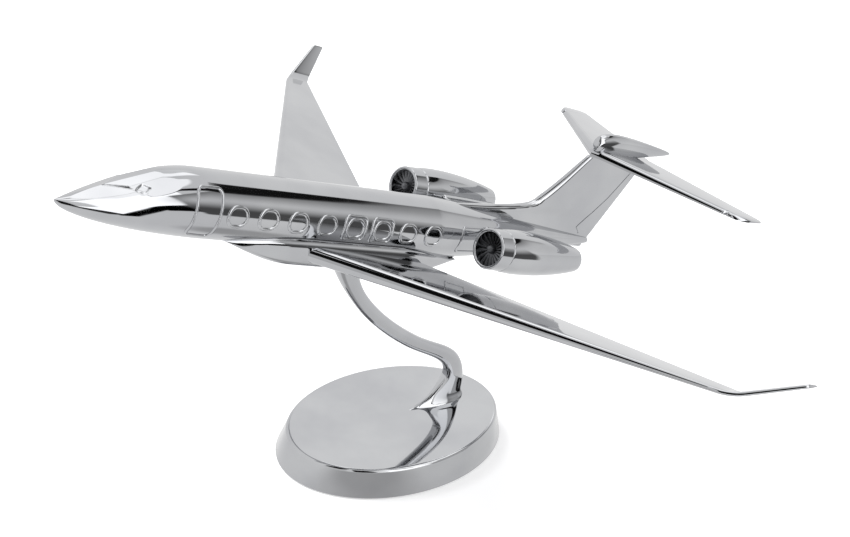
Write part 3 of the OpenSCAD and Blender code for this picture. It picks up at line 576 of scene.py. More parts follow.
def fine_outline(points, step):
    """The same closed outline with points no further apart than step."""
    out = []
    for a, b in zip(points, np.roll(points, -1, 0)):
        run = np.linalg.norm(b - a)
        pieces = math.ceil(run / step) if run > 1e-9 else 0
        out += [mix(a, b, k / pieces) for k in range(pieces)]
    return np.array(out)


def skin_place(b, u):
    """The cabin's surface and its outward direction at station b and height u, port side."""
    w, mid, h = hull_section(b)
    v = np.clip((u - mid) / h, -0.999, 0.999)
    s = w * math.sqrt(1 - v * v)
    normal = np.array([s / (w * w), 0.0, (u - mid) / (h * h)])
    return np.array([s, b, u]), normal / np.linalg.norm(normal)


def raised_line(outline, width, height):
    """A rounded ridge on the cabin's port side along a closed outline of [station, height]."""
    places = np.array([skin_place(b, u) for b, u in fine_outline(outline, LINE_STEP)])
    centre, normals = places[:, 0], places[:, 1]
    along = np.roll(centre, -1, 0) - np.roll(centre, 1, 0)
    along /= np.linalg.norm(along, axis=1)[:, None]
    across = np.cross(along, normals)
    rim = [(math.cos(a) * width / 2, math.sin(a) * height) for a in np.radians(np.linspace(0, 180, 9))]
    rim += [(-width / 2, -LINE_ROOT), (width / 2, -LINE_ROOT)]
    return loft(on_aircraft(np.stack([centre + across * x + normals * y for x, y in rim], 1)), closed=True)


def geometry_tree(name, **inputs):
    """A geometry node tree with its named inputs, and their sockets inside it."""
    tree = bpy.data.node_groups.new(name, "GeometryNodeTree")
    for label, kind in {"Geometry": "Geometry", **inputs}.items():
        tree.interface.new_socket(label, in_out="INPUT", socket_type="NodeSocket" + kind)
    tree.interface.new_socket("Geometry", in_out="OUTPUT", socket_type="NodeSocketGeometry")
    return tree, add(tree, "NodeGroupInput").outputs


def both_of(tree, first, second):
    node = add(tree, "GeometryNodeJoinGeometry")
    tree.links.new(first, node.inputs["Geometry"])
    tree.links.new(second, node.inputs["Geometry"])
    return node.outputs["Geometry"]


def end_tree(tree, made, material):
    """Makes the instances real, sets the material and sends the result out."""
    real = geometry_out(tree, "RealizeInstances", Geometry=made)
    out = geometry_out(tree, "SetMaterial", Geometry=real, Material=material)
    add(tree, "NodeGroupOutput", {"Geometry": out})
    return tree


def row_tree():
    """Geometry nodes: a piece repeated along a row, and the same row mirrored to the other side."""
    tree, given = geometry_tree("row along both sides", Count="Int", Step="Vector", Material="Material")
    line = geometry_out(tree, "MeshLine", Count=given["Count"], Offset=given["Step"])
    row = geometry_out(tree, "InstanceOnPoints", Points=line, Instance=given["Geometry"])
    port = geometry_out(tree, "RealizeInstances", Geometry=row)
    other = geometry_out(tree, "Transform", Geometry=port, Scale=(-1, 1, 1))
    other = geometry_out(tree, "FlipFaces", Mesh=other)
    return end_tree(tree, both_of(tree, port, other), given["Material"])


def run_tree(obj, tree, values):
    """Runs a node tree on the object with its inputs set by name, and keeps the result as a plain mesh."""
    step = obj.modifiers.new("nodes", "NODES")
    step.node_group = tree
    for item in tree.interface.items_tree:
        if item.item_type == "SOCKET" and item.in_out == "INPUT" and item.name in values:
            step[item.identifier] = values[item.name]
    obj.update_tag()
    return baked(obj)


def along_cabin(distance):
    """A step of that many millimetres aft along the cabin, in metres in the row frame."""
    start, end = on_aircraft([[0, 0, 0], [0, distance, 0]])
    return Vector((end - start) * MM)


# Belly fairing, wings and tail


def foil_half(x, t, chord, nose=BLUNT):
    """Half thickness of a cast section: a round nose, then a taper to the trailing edge."""
    n = np.minimum(1, x * chord / (nose * t))
    return t / 2 * np.sqrt(n * (2 - n)) * (1 - (1 - FOIL_EDGE / t) * x**FOIL_TAPER)


def foil(t, chord, n=72, nose=BLUNT):
    """A section as [share of the chord, height], from the trailing edge along the lower side."""
    a = 2 * math.pi * (np.arange(n) + 0.5) / n
    x = (0.5 + 0.5 * np.cos(a)) ** FOIL_CROWD
    return np.stack([x, np.where(a < math.pi, -1, 1) * foil_half(x, t, chord, nose)], -1)


def belly_rings():
    c, s = circle(96, 0.5)
    rings = []
    for t in np.linspace(0, 1, 110):
        deepen, widen = (
            math.sin(math.radians(90 * min(1, t / front, (1 - t) / BELLY_END))) for front in BELLY_FRONTS
        )
        depth = mix(BODY_R - BELLY_SUNK, BELLY_DROP, deepen**BELLY_DEEPEN)
        half = mix(BELLY_END_W, BELLY_W, widen**BELLY_WIDEN)
        rings.append(ring(half * c, BELLY_START + BELLY_L * t, -BELLY_MID + (depth - BELLY_MID) * s))
    return np.array(rings)


def build_belly():
    obj = solid("belly_casting", *loft(on_aircraft(belly_rings())), sharp=50)
    low, tang_b = -BELLY_DROP, (WING_LE + WING_TE) / 2 + 2
    tools = [(rod(BUSH_R, low - 0.5, low + 2.5), (0, SEAT_B))]
    for x in (-SCREW_S, SCREW_S):
        for y in (-SCREW_B, SCREW_B):
            tools.append((rod(SCREW_HEAD_R, low - 0.5, low + SCREW_WELL), (x, tang_b + y)))
    points, faces = joined([(p + [x, y, 0], f) for (p, f), (x, y) in tools])
    return cut(obj, on_aircraft(points), faces)


def wing_station(s):
    """Leading edge, trailing edge, distance out, height, thickness and cant at the distance s."""
    share = (s - WING_ROOT_S) / (WING_BEND_S - WING_ROOT_S)
    return (
        WING_LE + WING_LE_SWEEP * s, WING_TE + WING_TE_SWEEP * s, s,
        -WING_DROP + s * math.tan(math.radians(WING_DIHEDRAL)),
        mix(WING_T, WING_TIP_T, share), WING_DIHEDRAL,
    )


def winglet_station(arc, out):
    """The same along the bend, for the share arc of it, and then out millimetres along the winglet."""
    bend = wing_station(WING_BEND_S)
    low, cant = math.radians(WING_DIHEDRAL), math.radians(mix(WING_DIHEDRAL, WINGLET_CANT, arc))
    run = WINGLET_R * (cant - low) + out
    whole = WINGLET_R * (math.radians(WINGLET_CANT) - low) + WINGLET_L
    le = bend[0] + WINGLET_SWEEP * run
    chord = mix(bend[1] - bend[0], WINGLET_CHORD, run / whole)
    return (
        le, le + chord,
        WING_BEND_S + WINGLET_R * (math.sin(cant) - math.sin(low)) + out * math.cos(cant),
        bend[3] + WINGLET_R * (math.cos(low) - math.cos(cant)) + out * math.sin(cant),
        mix(WING_TIP_T, WINGLET_T, run / whole), math.degrees(cant),
    )


def wing_ring(station, shrink=1.0):
    le, te, s, u, t, cant = station
    x, h = foil(t, te - le).T
    x, h = mix(TIP_MIDDLE, x, shrink), h * shrink
    a = math.radians(cant)
    return ring(s - h * math.sin(a), mix(le, te, x), u + h * math.cos(a))


def wing_rings():
    stations = [wing_station(s) for s in np.linspace(WING_ROOT_S, WING_BEND_S, 40)]
    stations += [winglet_station(i / 14, 0) for i in range(1, 15)]
    stations += [winglet_station(1, WINGLET_L * i / 12) for i in range(1, 12)]
    rings = [wing_ring(station) for station in stations]
    # The tip is rounded over its last half millimetre
    for turn in (0, 30, 50, 68, 80):
        a = math.radians(turn)
        end = winglet_station(1, WINGLET_L - TIP_ROUND * (1 - math.sin(a)))
        rings.append(wing_ring(end, mix(TIP_SHRINK, 1, math.cos(a)) if turn < 80 else TIP_END))
    return np.array(rings)


def spline(x, known_x, known_y):
    """A smooth curve through known points that doesn't overshoot between them."""
    known_x, known_y = np.asarray(known_x, float), np.asarray(known_y, float)
    step = np.diff(known_x)
    slope = np.diff(known_y) / step
    tangent = np.zeros(len(known_x))
    tangent[0], tangent[-1] = slope[0], slope[-1]
    for i in range(1, len(slope)):
        if slope[i - 1] * slope[i] > 0:
            a, b = 2 * step[i] + step[i - 1], step[i] + 2 * step[i - 1]
            tangent[i] = (a + b) / (a / slope[i - 1] + b / slope[i])
    i = np.clip(np.searchsorted(known_x, x) - 1, 0, len(step) - 1)
    t = (x - known_x[i]) / step[i]
    return (
        known_y[i] * (1 + 2 * t) * (1 - t) ** 2 + known_y[i + 1] * t * t * (3 - 2 * t)
        + step[i] * t * (1 - t) * (tangent[i] * (1 - t) - tangent[i + 1] * t)
    )


def fin_rings():
    # Height, leading edge, thickness and bluntness of the nose, up the dorsal fillet and the fin
    known = [
        (-1.0, DORSAL_START - 2, FIN_T * 1.1, 8),
        (FIN_BEND_U - 2.9, DORSAL_START - 0.5, FIN_T * 1.1, 8),
        (FIN_BEND_U - 1.6, (DORSAL_START + FIN_BEND_B) / 2, FIN_T, 5),
        (FIN_BEND_U - 0.5, FIN_BEND_B - 4, FIN_T, 2),
        (FIN_BEND_U + 0.6, FIN_BEND_B + 0.8, FIN_T, 1),
        (FIN_BEND_U + 2.4, FIN_BEND_B + 3.2, FIN_T, BLUNT),
        (FIN_TOP_U, FIN_TOP_LE, FIN_TOP_T, BLUNT),
    ]
    u, le, t, noses = np.array(known).T
    heights = np.concatenate([
        np.linspace(-1, FIN_BEND_U - 3, 12)[:-1],
        np.linspace(FIN_BEND_U - 3, FIN_BEND_U + 3.5, 110)[:-1],
        np.linspace(FIN_BEND_U + 3.5, FIN_TOP_U, 24),
    ])
    rings = []
    for z in heights:
        front, thick = spline(z, u, le), np.interp(z, u, t)
        back = mix(FIN_FOOT_TE, FIN_TOP_TE, z / FIN_TOP_U)
        x, h = foil(thick, back - front, 110, np.interp(z, u, noses)).T
        rings.append(ring(-h, mix(front, back, x), z))
    return np.array(rings)


# Corners of the line round the rudder, and the share of the chord at which its depth is measured
RUDDER_SHARE = 0.8
RUDDER_LINE = (
    (FIN_TOP_TE - 0.7, FIN_TOP_U - 1.7), (FIN_TOP_TE - 3.8, FIN_TOP_U - 2.7),
    (FIN_FOOT_TE + 1.9, 15.3), (FIN_FOOT_TE - 6.3, 5.1), (FIN_FOOT_TE - 4.2, 3.3),
)


def build_fin(trim):
    obj = solid("fin_casting", *loft(on_aircraft(fin_rings())), sharp=50)
    half_w = trim.groove_width / MM / 2
    floor = float(foil_half(RUDDER_SHARE, FIN_TOP_T, FIN_TOP_TE - FIN_TOP_LE)) - trim.groove_depth / MM
    line = np.array(RUDDER_LINE)
    for side in (-1, 1):
        for a, b in zip(line[:-1], line[1:]):
            along = (b - a) / np.linalg.norm(b - a) * half_w
            across = np.array([-along[1], along[0]])
            corners = [a - along + across, b + along + across, b + along - across, a - along - across]
            tool = [[[side * x, *corner] for corner in corners] for x in (floor, floor + 2)]
            cut(obj, *loft(on_aircraft(tool)))
    return obj


def flat_under(x, h, t):
    """The section's heights with its nose rounded from above only, over a flat underside."""
    full = t / 2 * (1 - (1 - FOIL_EDGE / t) * x**FOIL_TAPER)
    return np.where(h < 0, -full, 2 * np.abs(h) - full)


def stab_rings():
    inner = np.concatenate([
        np.linspace(0, HORN_S - 1.2, 16), HORN_S + np.linspace(-1.1, 1.1, 23),
        np.linspace(HORN_S + 1.2, STAB_S - STAB_ROUND, 6),
    ])
    half = [(s, 1.0) for s in inner]
    for a in np.radians([10, 25, 40, 55, 68, 78, 86]):
        half.append((STAB_S - STAB_ROUND * (1 - math.sin(a)), math.cos(a)))
    rings = []
    for side, (s, full) in [(-1, h) for h in half[::-1]] + [(1, h) for h in half[1:]]:
        # A small notch in the leading edge at the inner end of each elevator horn
        notch = NOTCH_DEPTH * math.exp(-(((s - HORN_S) / NOTCH_W) ** 2))
        le, te = STAB_LE + STAB_LE_SWEEP * s + notch, STAB_TE + STAB_TE_SWEEP * s
        t = mix(STAB_T, STAB_TIP_T, s / STAB_S)
        x, h = foil(t, te - le, nose=STAB_BLUNT).T
        shrink = mix(STAB_SHRINK, 1, full)
        rings.append(ring(
            side * s, mix(le, te, mix(STAB_MIDDLE, x, shrink)), STAB_U + flat_under(x, h, t) * shrink,
        ))
    return np.array(rings)


def bullet_rings():
    c, s = circle(64)
    rings = []
    for t in (np.arange(0, 71) / 70) ** 1.4:
        full = max(0, math.sin(math.pi * t**BULLET_FULL)) ** BULLET_FULL
        r = BULLET_R * full * (1 - BULLET_THINS * t) + BULLET_END_R
        rings.append(ring(
            r * BULLET_SLIM * c, BULLET_B + BULLET_L * t, BULLET_U + BULLET_RISE * t + r * s,
        ))
    return np.array(rings)


# Engines


def nacelle_radius(y):
    t = y / NAC_L
    if t < NAC_WIDEST:
        return mix(LIP_R, NAC_R, math.sin(math.pi / 2 * t / NAC_WIDEST))
    return mix(NOZZLE_R, NAC_R, math.cos(math.pi / 2 * (t - NAC_WIDEST) / (1 - NAC_WIDEST)) ** NAC_CLOSE)


def arc(r, y, size, degrees):
    """Profile points at that distance round [r, y], 0 degrees outwards and 90 aft."""
    return [[r + size * math.cos(a), y + size * math.sin(a)] for a in np.radians(degrees)]


def nacelle_profile(seam):
    profile = [[0, DUCT_L], [DUCT_R, DUCT_L], [DUCT_R, RING_L + 0.01]]
    profile += arc(nacelle_radius(RING_L) - seam, RING_L + seam, seam, [-90, -60, -30])
    profile += [[nacelle_radius(y), y] for y in np.linspace(RING_L + seam, NAC_L - AFT_EDGE, 80)]
    inner = NOZZLE_R - AFT_EDGE
    profile += arc(inner, NAC_L - AFT_EDGE, AFT_EDGE, np.arange(10, 91, 10))
    return profile + [[inner, NAC_L - NOZZLE_DEPTH], [0, NAC_L - NOZZLE_DEPTH]]


def ring_profile(seam):
    half = (LIP_R - DUCT_R) / 2 + LIP_EDGE
    last = nacelle_radius(RING_L)
    profile = [[DUCT_R, RING_L], *arc(DUCT_R + half, half, half, np.arange(-180, 1, 7.5))]
    for y in np.linspace(half, RING_L - seam, 16)[1:]:
        profile.append([mix(DUCT_R + 2 * half, last, (y - half) / (RING_L - half)), y])
    return profile + arc(last - seam, RING_L - seam, seam, [30, 60, 90])


def pylon_rings():
    """The pylon's section sent outwards, flared where it meets the fuselage and the nacelle."""
    x, h = foil(PYLON_T, PYLON_L, 60).T
    rings = []
    for s in np.linspace(BODY_R * PYLON_INNER, NAC_S - NAC_R + PYLON_SUNK, 40):
        flare = 1.0
        for meet in PYLON_MEETS:
            flare += PYLON_FLARE * math.exp(-((s - meet) / PYLON_FLARE_W) ** 2)
        rings.append(ring(s, PYLON_B + x * PYLON_L, NAC_U + h * flare))
    return np.array(rings)


def fan_blade(angle):
    """One twisted blade along X, standing on the fan's disc, as rings from root to tip."""
    c, s = circle(12)
    rings = []
    for x in np.linspace(SPINNER_R * BLADE_ROOT, DUCT_R - BLADE_GAP, 12):
        share = (x - SPINNER_R) / (DUCT_R - SPINNER_R)
        flat = ring(x, mix(BLADE_T, BLADE_TIP_T, share) / 2 * s + BLADE_CURVE * c**2, BLADE_CHORD / 2 * c)
        rings.append(turn_x(flat, math.degrees(angle) + BLADE_TWIST * (share - 0.5)))
    return loft(np.array(rings) + [0, 0, FAN_DEPTH + BLADE_MID])


def fan_tree():
    """Geometry nodes: a blade repeated round the fan's axis, with the hub, set on the engine."""
    tree, given = geometry_tree(
        "blades round an axis", Blades="Int", Hub="Object", Place="Vector", Turn="Vector",
        Mirror="Vector", Material="Material",
    )
    line = geometry_out(tree, "MeshLine", Count=given["Blades"], Offset=(0, 0, 0))
    index = geometry_out(tree, "InputIndex")
    share = shader_out(tree, "Math", index, given["Blades"], operation="DIVIDE")
    turn = shader_out(tree, "Math", share, 2 * math.pi, operation="MULTIPLY")
    spin = shader_out(tree, "CombineXYZ", 0.0, 0.0, turn)
    spin = add(tree, "FunctionNodeEulerToRotation", {0: spin}).outputs[0]
    blades = geometry_out(
        tree, "InstanceOnPoints", Points=line, Instance=given["Geometry"], Rotation=spin,
    )
    hub = add(tree, "GeometryNodeObjectInfo", {"Object": given["Hub"]}).outputs["Geometry"]
    turned = add(tree, "FunctionNodeEulerToRotation", {0: given["Turn"]}).outputs[0]
    placed = geometry_out(
        tree, "Transform", Geometry=both_of(tree, blades, hub), Translation=given["Place"], Rotation=turned,
    )
    sided = geometry_out(tree, "Transform", Geometry=placed, Scale=given["Mirror"])
    return end_tree(tree, sided, given["Material"])


# Stand


def arm_point(t):
    """The arm's middle line in [y, z]: a curve from the head to the knee at 1, and one to the foot at 2."""
    knee = np.array([mix(HEAD_Y, FOOT_Y, KNEE_SHARE), BASE_H + (HEAD_Z - BASE_H) * KNEE_RISE])
    if t < 1:
        a, d, (fore, aft) = np.array([HEAD_Y, HEAD_Z]), knee, UPPER_HANDLES
    else:
        a, d, (fore, aft) = knee, np.array([FOOT_Y, BASE_H + FOOT_H * ANKLE_END]), LOWER_HANDLES
        t -= 1
    b, c = a + fore, d + aft
    return (1 - t) ** 3 * a + 3 * t * (1 - t) ** 2 * b + 3 * t * t * (1 - t) * c + t**3 * d


def arm_ring(t):
    """The arm's section square to its middle line, flared at the head and thicker at the ankle."""
    p = arm_point(t)
    if t == 0:
        d = np.array([-math.sin(math.radians(PITCH)), -math.cos(math.radians(PITCH))])
    else:
        d = arm_point(min(2, t + 0.01)) - arm_point(max(0, t - 0.01))
        d = d / np.linalg.norm(d)
    flare, low = max(0, 1 - t / HEAD_FLARE) ** 2, max(0, t - 1) ** 1.5
    h = (mix(ARM_D, HEAD_D, flare) + ANKLE_D * low) / 2
    w = (mix(ARM_W, HEAD_W, flare) + ANKLE_W * low) / 2
    c, s = circle(ARM_STEPS, ARM_SQUARE)
    return ring(w * c, p[0] - d[1] * h * s, p[1] + d[0] * h * s)


def foot_ring(t):
    """A level section of the foot, t from its sole to its top, with the arm's order of points."""
    front = mix(TOE_Y, FOOT_Y - SHIN, t**TOE_CURVE)
    rear = mix(HEEL_Y, HEEL_Y - HEEL_LEAN, t * t)
    w = mix(FOOT_W, ARM_W + ANKLE_W * ANKLE_SHARE, t**0.5) / 2
    c, s = circle(ARM_STEPS)
    taper = mix(mix(TOE_TAPER, 1, (1 + s) / 2), 1, t)
    return ring(w * c * taper, (front + rear) / 2 + (rear - front) / 2 * s, BASE_H + FOOT_H * t)


def arm_rings():
    """The arm from its head to the ankle, which turns into the foot over a few millimetres."""
    rings = []
    top, low = BASE_H + FOOT_H, BASE_H + FOOT_H * FOOT_SHARE
    for t in np.linspace(0, 2, 160):
        z = arm_point(t)[1]
        if z > top:
            rings.append(arm_ring(t))
        elif z > low:
            share = float(smooth(top, low, z))
            rings.append(mix(arm_ring(t), foot_ring((z - BASE_H) / FOOT_H), share))
    rings += [foot_ring(t) for t in np.linspace(FOOT_SHARE, 0, 40)[1:]]
    # The sole stands a hair inside the base
    return eased(np.array(rings + [rings[-1] - [0, 0, 0.02]]))


def eased(rings):
    """Blends the ankle into the foot: points move towards their neighbours, but not at head or sole."""
    height = rings[:, :1, 2:] - BASE_H
    share = 0.5 * smooth(*EASE_LOW, height) * (1 - smooth(*EASE_HIGH, height - FOOT_H))
    for _ in range(EASE_PASSES):
        beside = (np.roll(rings, 1, 1) + np.roll(rings, -1, 1)) / 2
        above = rings.copy()
        above[1:-1] = (rings[:-2] + rings[2:]) / 2
        rings = rings + ((beside + above) / 2 - rings) * share
    return rings


def base_rings():
    """The base from its pad recess round the foot and the top edge to the flat of the top."""
    # How far each level is drawn in from the base's full size, and its height
    levels = [(PAD_MARGIN, PAD_TOP), (PAD_MARGIN, PAD_PROUD)]
    for a in np.radians([0, 30, 60, 90]):
        levels.append((SOLE_EDGE * (1 - math.sin(a)), PAD_PROUD + SOLE_EDGE * (1 - math.cos(a))))
    for a in np.radians(np.linspace(0, 90, 13)):
        levels.append((BASE_FLARE + BASE_EDGE * (1 - math.cos(a)), BASE_H - BASE_EDGE * (1 - math.sin(a))))
    levels.append((BASE_FLARE + BASE_EDGE + 0.5, BASE_H))
    c, s = circle(256)
    return np.array([ring((BASE_X - inward) * c, (BASE_Y - inward) * s, z) for inward, z in levels])


# Studio

# Where the studio's directions are measured from, and the middle of the shade beside the base
SEEN_FROM = (0.0, -0.05, 0.09)
SHADE_PLACE = (0.036, -0.030, 0.0)
# How far from there the shade begins to fade and ends, and its tone
SHADE_REACH, SHADE_TONE = (0.012, 0.034), 0.6
# The floor's own glow to the camera, and in the chrome its share of shading and its glow; the room's light
FLOOR_GLOW, MIRRORED_SHADE, MIRRORED_GLOW, ROOM_LIGHT = 0.42, 0.2, 0.72, 0.75
# The key softbox
KEY_AZIMUTH, KEY_ELEVATION, KEY_DISTANCE, KEY_SIZE, KEY_POWER = -60, 55, 1.2, (0.9, 0.6), 14
KEY_AIM = (0.0, 0.0, 0.08)
# The photograph's view: the camera's place, and its right, up and back directions
CAMERA_PLACE = (0.27657, -0.25696, 0.27707)
CAMERA_AXES = (
    (0.61113445, 0.77761173, 0.14776561),
    (-0.477623, 0.2134212, 0.85224859),
    (0.63118219, -0.59141473, 0.50183429),
)

# The studio's tones, in degrees: azimuth 0 lies ahead of the nose, 90 to port, and elevation 0 is the
# horizon. Each patch lies over those before it: its azimuth limits, their slants for each degree of
# elevation, its elevation limits, their slant for each degree of azimuth, the softness of its edges, and
# its tone, where 1 is the pale backdrop.
TONES = (
    # The room on the camera's side
    ((22, 50), (0, 0), (-8, 56), 0, 5, 0.75),
    # Dark ceiling over the camera, which comes down in a wedge, and the stand beside it
    ((27, 33), (-0.14, 0.33), (30, 95), 0, 3, 0.005),
    ((58, 78), (0, 0), (-4, 60), 0, 3, 0.01),
    # Port softbox with the white sheet over it, and the gap under the softbox
    ((88, 117), (0, 0.38), (2.5, 60), 0, 2, 2.2),
    ((104, 188), (0, 0), (46, 82), 0, 3, 1.8),
    ((104, 118), (0, 0), (-12.5, 2.5), 0, 1.5, 0.0),
    # Wall on the port quarter, bright in the middle of its height and dark above and below
    ((117, 146), (0.1, 0), (-17.5, 31), 0, 3, 0.12),
    ((143, 184), (0, 0), (16, 31), 0, 3, 0.12),
    ((118, 184), (0, 0), (6, 26), 0, 22, 0.86),
    # White card on the floor before the softbox, with a dark gap on each side
    ((69, 79), (0, 0), (-33, 0), 0, 3, 0.06),
    ((79, 106), (0, 0.93), (-28, 3.5), 0, 1.5, 2.4),
    ((105, 114), (0.93, 0.93), (-36, 2.5), 0, 1.5, 0.0),
    # The wall's rail
    ((126, 157), (0, 0), (103.5, 110.5), -0.47, 2, 0.01),
    ((155, 184), (0, 0), (28.5, 35.5), 0, 2, 0.01),
    # White sheet on the starboard quarter
    ((206, 218), (0, 0), (33, 74), 0, 3, 1.9),
    ((206, 242), (0, 0), (42, 74), 0, 3, 1.9),
    ((219, 246), (0, 0), (25, 41), 0, 2, 1.1),
    # Dark ceiling
    ((200, 361), (0, 0), (76, 95), 0, 3, 0.02),
    ((-1, 62), (0, 0), (79, 95), 0, 3, 0.01),
)


def tone_patch(tree, azimuth, elevation, below, patch):
    """Lays one soft-edged patch over the tone below it."""
    across, slants, up, slant, soft, tone = patch
    share = None
    for value, other, limits, leans in (
        (azimuth, elevation, across, slants), (elevation, azimuth, up, (slant, slant)),
    ):
        for limit, lean, ends in zip(limits, leans, ((0.0, 1.0), (1.0, 0.0))):
            placed = value
            if lean:
                placed = shader_out(tree, "Math", other, -lean, value, operation="MULTIPLY_ADD")
            edge = shader_out(
                tree, "MapRange", placed, limit - soft / 2, limit + soft / 2, *ends,
                interpolation_type="SMOOTHSTEP",
            )
            share = edge if share is None else shader_out(tree, "Math", share, edge, operation="MULTIPLY")
    return shader_out(tree, "MapRange", share, 0.0, 1.0, below, tone)


def studio_tones():
    """The studio's brightness by direction, as a node group that the world and the floor share."""
    if "studio tones" in bpy.data.node_groups:
        return bpy.data.node_groups["studio tones"]
    tree = bpy.data.node_groups.new("studio tones", "ShaderNodeTree")
    tree.interface.new_socket("Direction", in_out="INPUT", socket_type="NodeSocketVector")
    tree.interface.new_socket("Tone", in_out="OUTPUT", socket_type="NodeSocketFloat")
    given = add(tree, "NodeGroupInput").outputs["Direction"]
    x, y, z = add(tree, "ShaderNodeSeparateXYZ", {0: given}).outputs
    left = shader_out(tree, "Math", x, -1.0, operation="MULTIPLY")
    angle = shader_out(tree, "Math", left, y, operation="ARCTAN2")
    azimuth = shader_out(tree, "Math", angle, math.degrees(1), 180.0, operation="MULTIPLY_ADD")
    rise = shader_out(tree, "Math", z, operation="ARCSINE")
    elevation = shader_out(tree, "Math", rise, math.degrees(1), operation="MULTIPLY")
    tone = 1.0
    for patch in TONES:
        tone = tone_patch(tree, azimuth, elevation, tone, patch)
    add(tree, "NodeGroupOutput", {"Tone": tone})
    return tree


def tone_at(tree, direction):
    node = add(tree, "ShaderNodeGroup", node_tree=studio_tones())
    tree.links.new(direction, node.inputs["Direction"])
    return node.outputs["Tone"]


# Operators


class DeskJetStep:
    """What the steps share: each one needs the frame and raises where it can't finish."""

    bl_options = {"REGISTER"}

    def execute(self, context):
        if not FINISHES:
            FINISHES.update(build_materials(settings().finish))
        self.build(settings())
        return {"FINISHED"}


class DESKJET_OT_fuselage(DeskJetStep, bpy.types.Operator):
    """Make the smooth fuselage with its nose flats and side windows"""

    bl_idname = "desk_jet.fuselage"
    bl_label = "Fuselage"

    def build(self, chosen):
        finish(build_fuselage(), ["fuselage"])


class DESKJET_OT_cabin_trim(DeskJetStep, bpy.types.Operator):
    """Lay the raised window rings, window frames and door outlines on the skin"""

    bl_idname = "desk_jet.cabin_trim"
    bl_label = "Cabin trim"

    def build(self, chosen):
        width, height = chosen.trim.line_width / MM, chosen.trim.line_height / MM
        less, tree = width / 2, row_tree()
        window = rounded_outline(WINDOW_W, WINDOW_H, WINDOW_H / 2 - 0.1, WINDOW_START, WINDOW_RISE)
        framed_b = WINDOW_START + FIRST_FRAMED * WINDOW_PITCH
        framed = rounded_outline(FRAME_W - less, FRAME_H - less, FRAME_R, framed_b, WINDOW_RISE)
        for name, line, count in (
            ("window_rings", window, chosen.trim.windows), ("window_frames", framed, 2),
        ):
            obj = solid(name, *raised_line(line, width, height))
            run_tree(obj, tree, {
                "Count": count, "Step": along_cabin(WINDOW_PITCH), "Material": FINISHES["polished_chrome"],
            })
            finish(obj)
        doors = [
            rounded_outline(DOOR_W - less, DOOR_H - less, FRAME_R, DOOR_B, DOOR_TOP - DOOR_H / 2),
            rounded_outline(BAG_W, BAG_H, BAG_R, BAG_B, BAG_U),
        ]
        parts = [raised_line(line, width * DOOR_LINE, height) for line in doors]
        finish(solid("door_outlines", *joined(parts)))


class DESKJET_OT_belly(DeskJetStep, bpy.types.Operator):
    """Make the belly fairing with its bore for the bush and its screw wells"""

    bl_idname = "desk_jet.belly"
    bl_label = "Belly fairing"

    def build(self, chosen):
        finish(build_belly(), ["belly_fairing"])


class DESKJET_OT_wings(DeskJetStep, bpy.types.Operator):
    """Make both wings with their canted winglets"""

    bl_idname = "desk_jet.wings"
    bl_label = "Wings"

    def build(self, chosen):
        points, faces = loft(on_aircraft(wing_rings()))
        for node, place in (("left_wing", points), ("right_wing", mirrored(points))):
            finish(solid(node + "_casting", place, faces, sharp=60), [node])


class DESKJET_OT_tail(DeskJetStep, bpy.types.Operator):
    """Make the fin with its engraved rudder line, the tailplane and the bullet"""

    bl_idname = "desk_jet.tail"
    bl_label = "Tail"

    def build(self, chosen):
        finish(build_fin(chosen.trim), ["tail_fin"])
        for name, rings, node in (
            ("tailplane_casting", stab_rings(), "tailplane"),
            ("bullet_casting", bullet_rings(), "tail_bullet"),
        ):
            finish(solid(name, *loft(on_aircraft(rings)), sharp=60), [node])


class DESKJET_OT_engines(DeskJetStep, bpy.types.Operator):
    """Make pylons, nacelles, intake rings and bladed fans"""

    bl_idname = "desk_jet.engines"
    bl_label = "Engines"

    def build(self, chosen):
        seam = chosen.engines.seam / MM
        shapes = {
            "nacelle": loft(on_engine(revolve(nacelle_profile(seam), 128))),
            "intake_ring": loft(on_engine(revolve(ring_profile(seam), 128)), closed=True),
            "pylon": loft(on_aircraft(pylon_rings())),
        }
        for side in ("left", "right"):
            for name, (points, faces) in shapes.items():
                place = points if side == "left" else mirrored(points)
                finish(solid(f"{side}_{name}_casting", place, faces, sharp=40), [f"{side}_{name}"])
        self.fans(chosen.engines)

    def fans(self, engines):
        rim, back, plate = DUCT_R - HUB_GAP, DUCT_L - HUB_GAP, FAN_DEPTH + PLATE
        hub_profile = [[0, back], [rim, back], [rim, plate], [SPINNER_R, plate]]
        for a in np.radians(np.linspace(0, 88, 12)):
            nose = FAN_DEPTH + SPINNER_FOOT - SPINNER_POINT * SPINNER_R * math.sin(a)
            hub_profile.append([SPINNER_R * math.cos(a), nose])
        hub = solid("fan_hub", *loft(revolve(hub_profile, 64)), sharp=50)
        tree = fan_tree()
        place = Vector(on_engine([[0, 0, 0]])[0] * MM)
        turn = (math.radians(-90 - NAC_DROOP - PITCH), 0, 0)
        for side, mirror in (("left", 1), ("right", -1)):
            obj = solid(f"{side}_fan_blades", *fan_blade(engines.blade_angle))
            run_tree(obj, tree, {
                "Blades": engines.blades, "Hub": hub, "Place": place, "Turn": turn,
                "Mirror": (mirror, 1, 1), "Material": FINISHES["dark_nickel"],
            })
            tidy_mesh(obj.data, 50)
            finish(obj, [f"{side}_fan"], slot="dark_nickel")
        drop(hub)


class DESKJET_OT_arm(DeskJetStep, bpy.types.Operator):
    """Make the curved arm that runs into its foot"""

    bl_idname = "desk_jet.arm"
    bl_label = "Stand arm"

    def build(self, chosen):
        finish(solid("arm_casting", *loft(arm_rings()), sharp=50), ["stand_arm"], "stand")


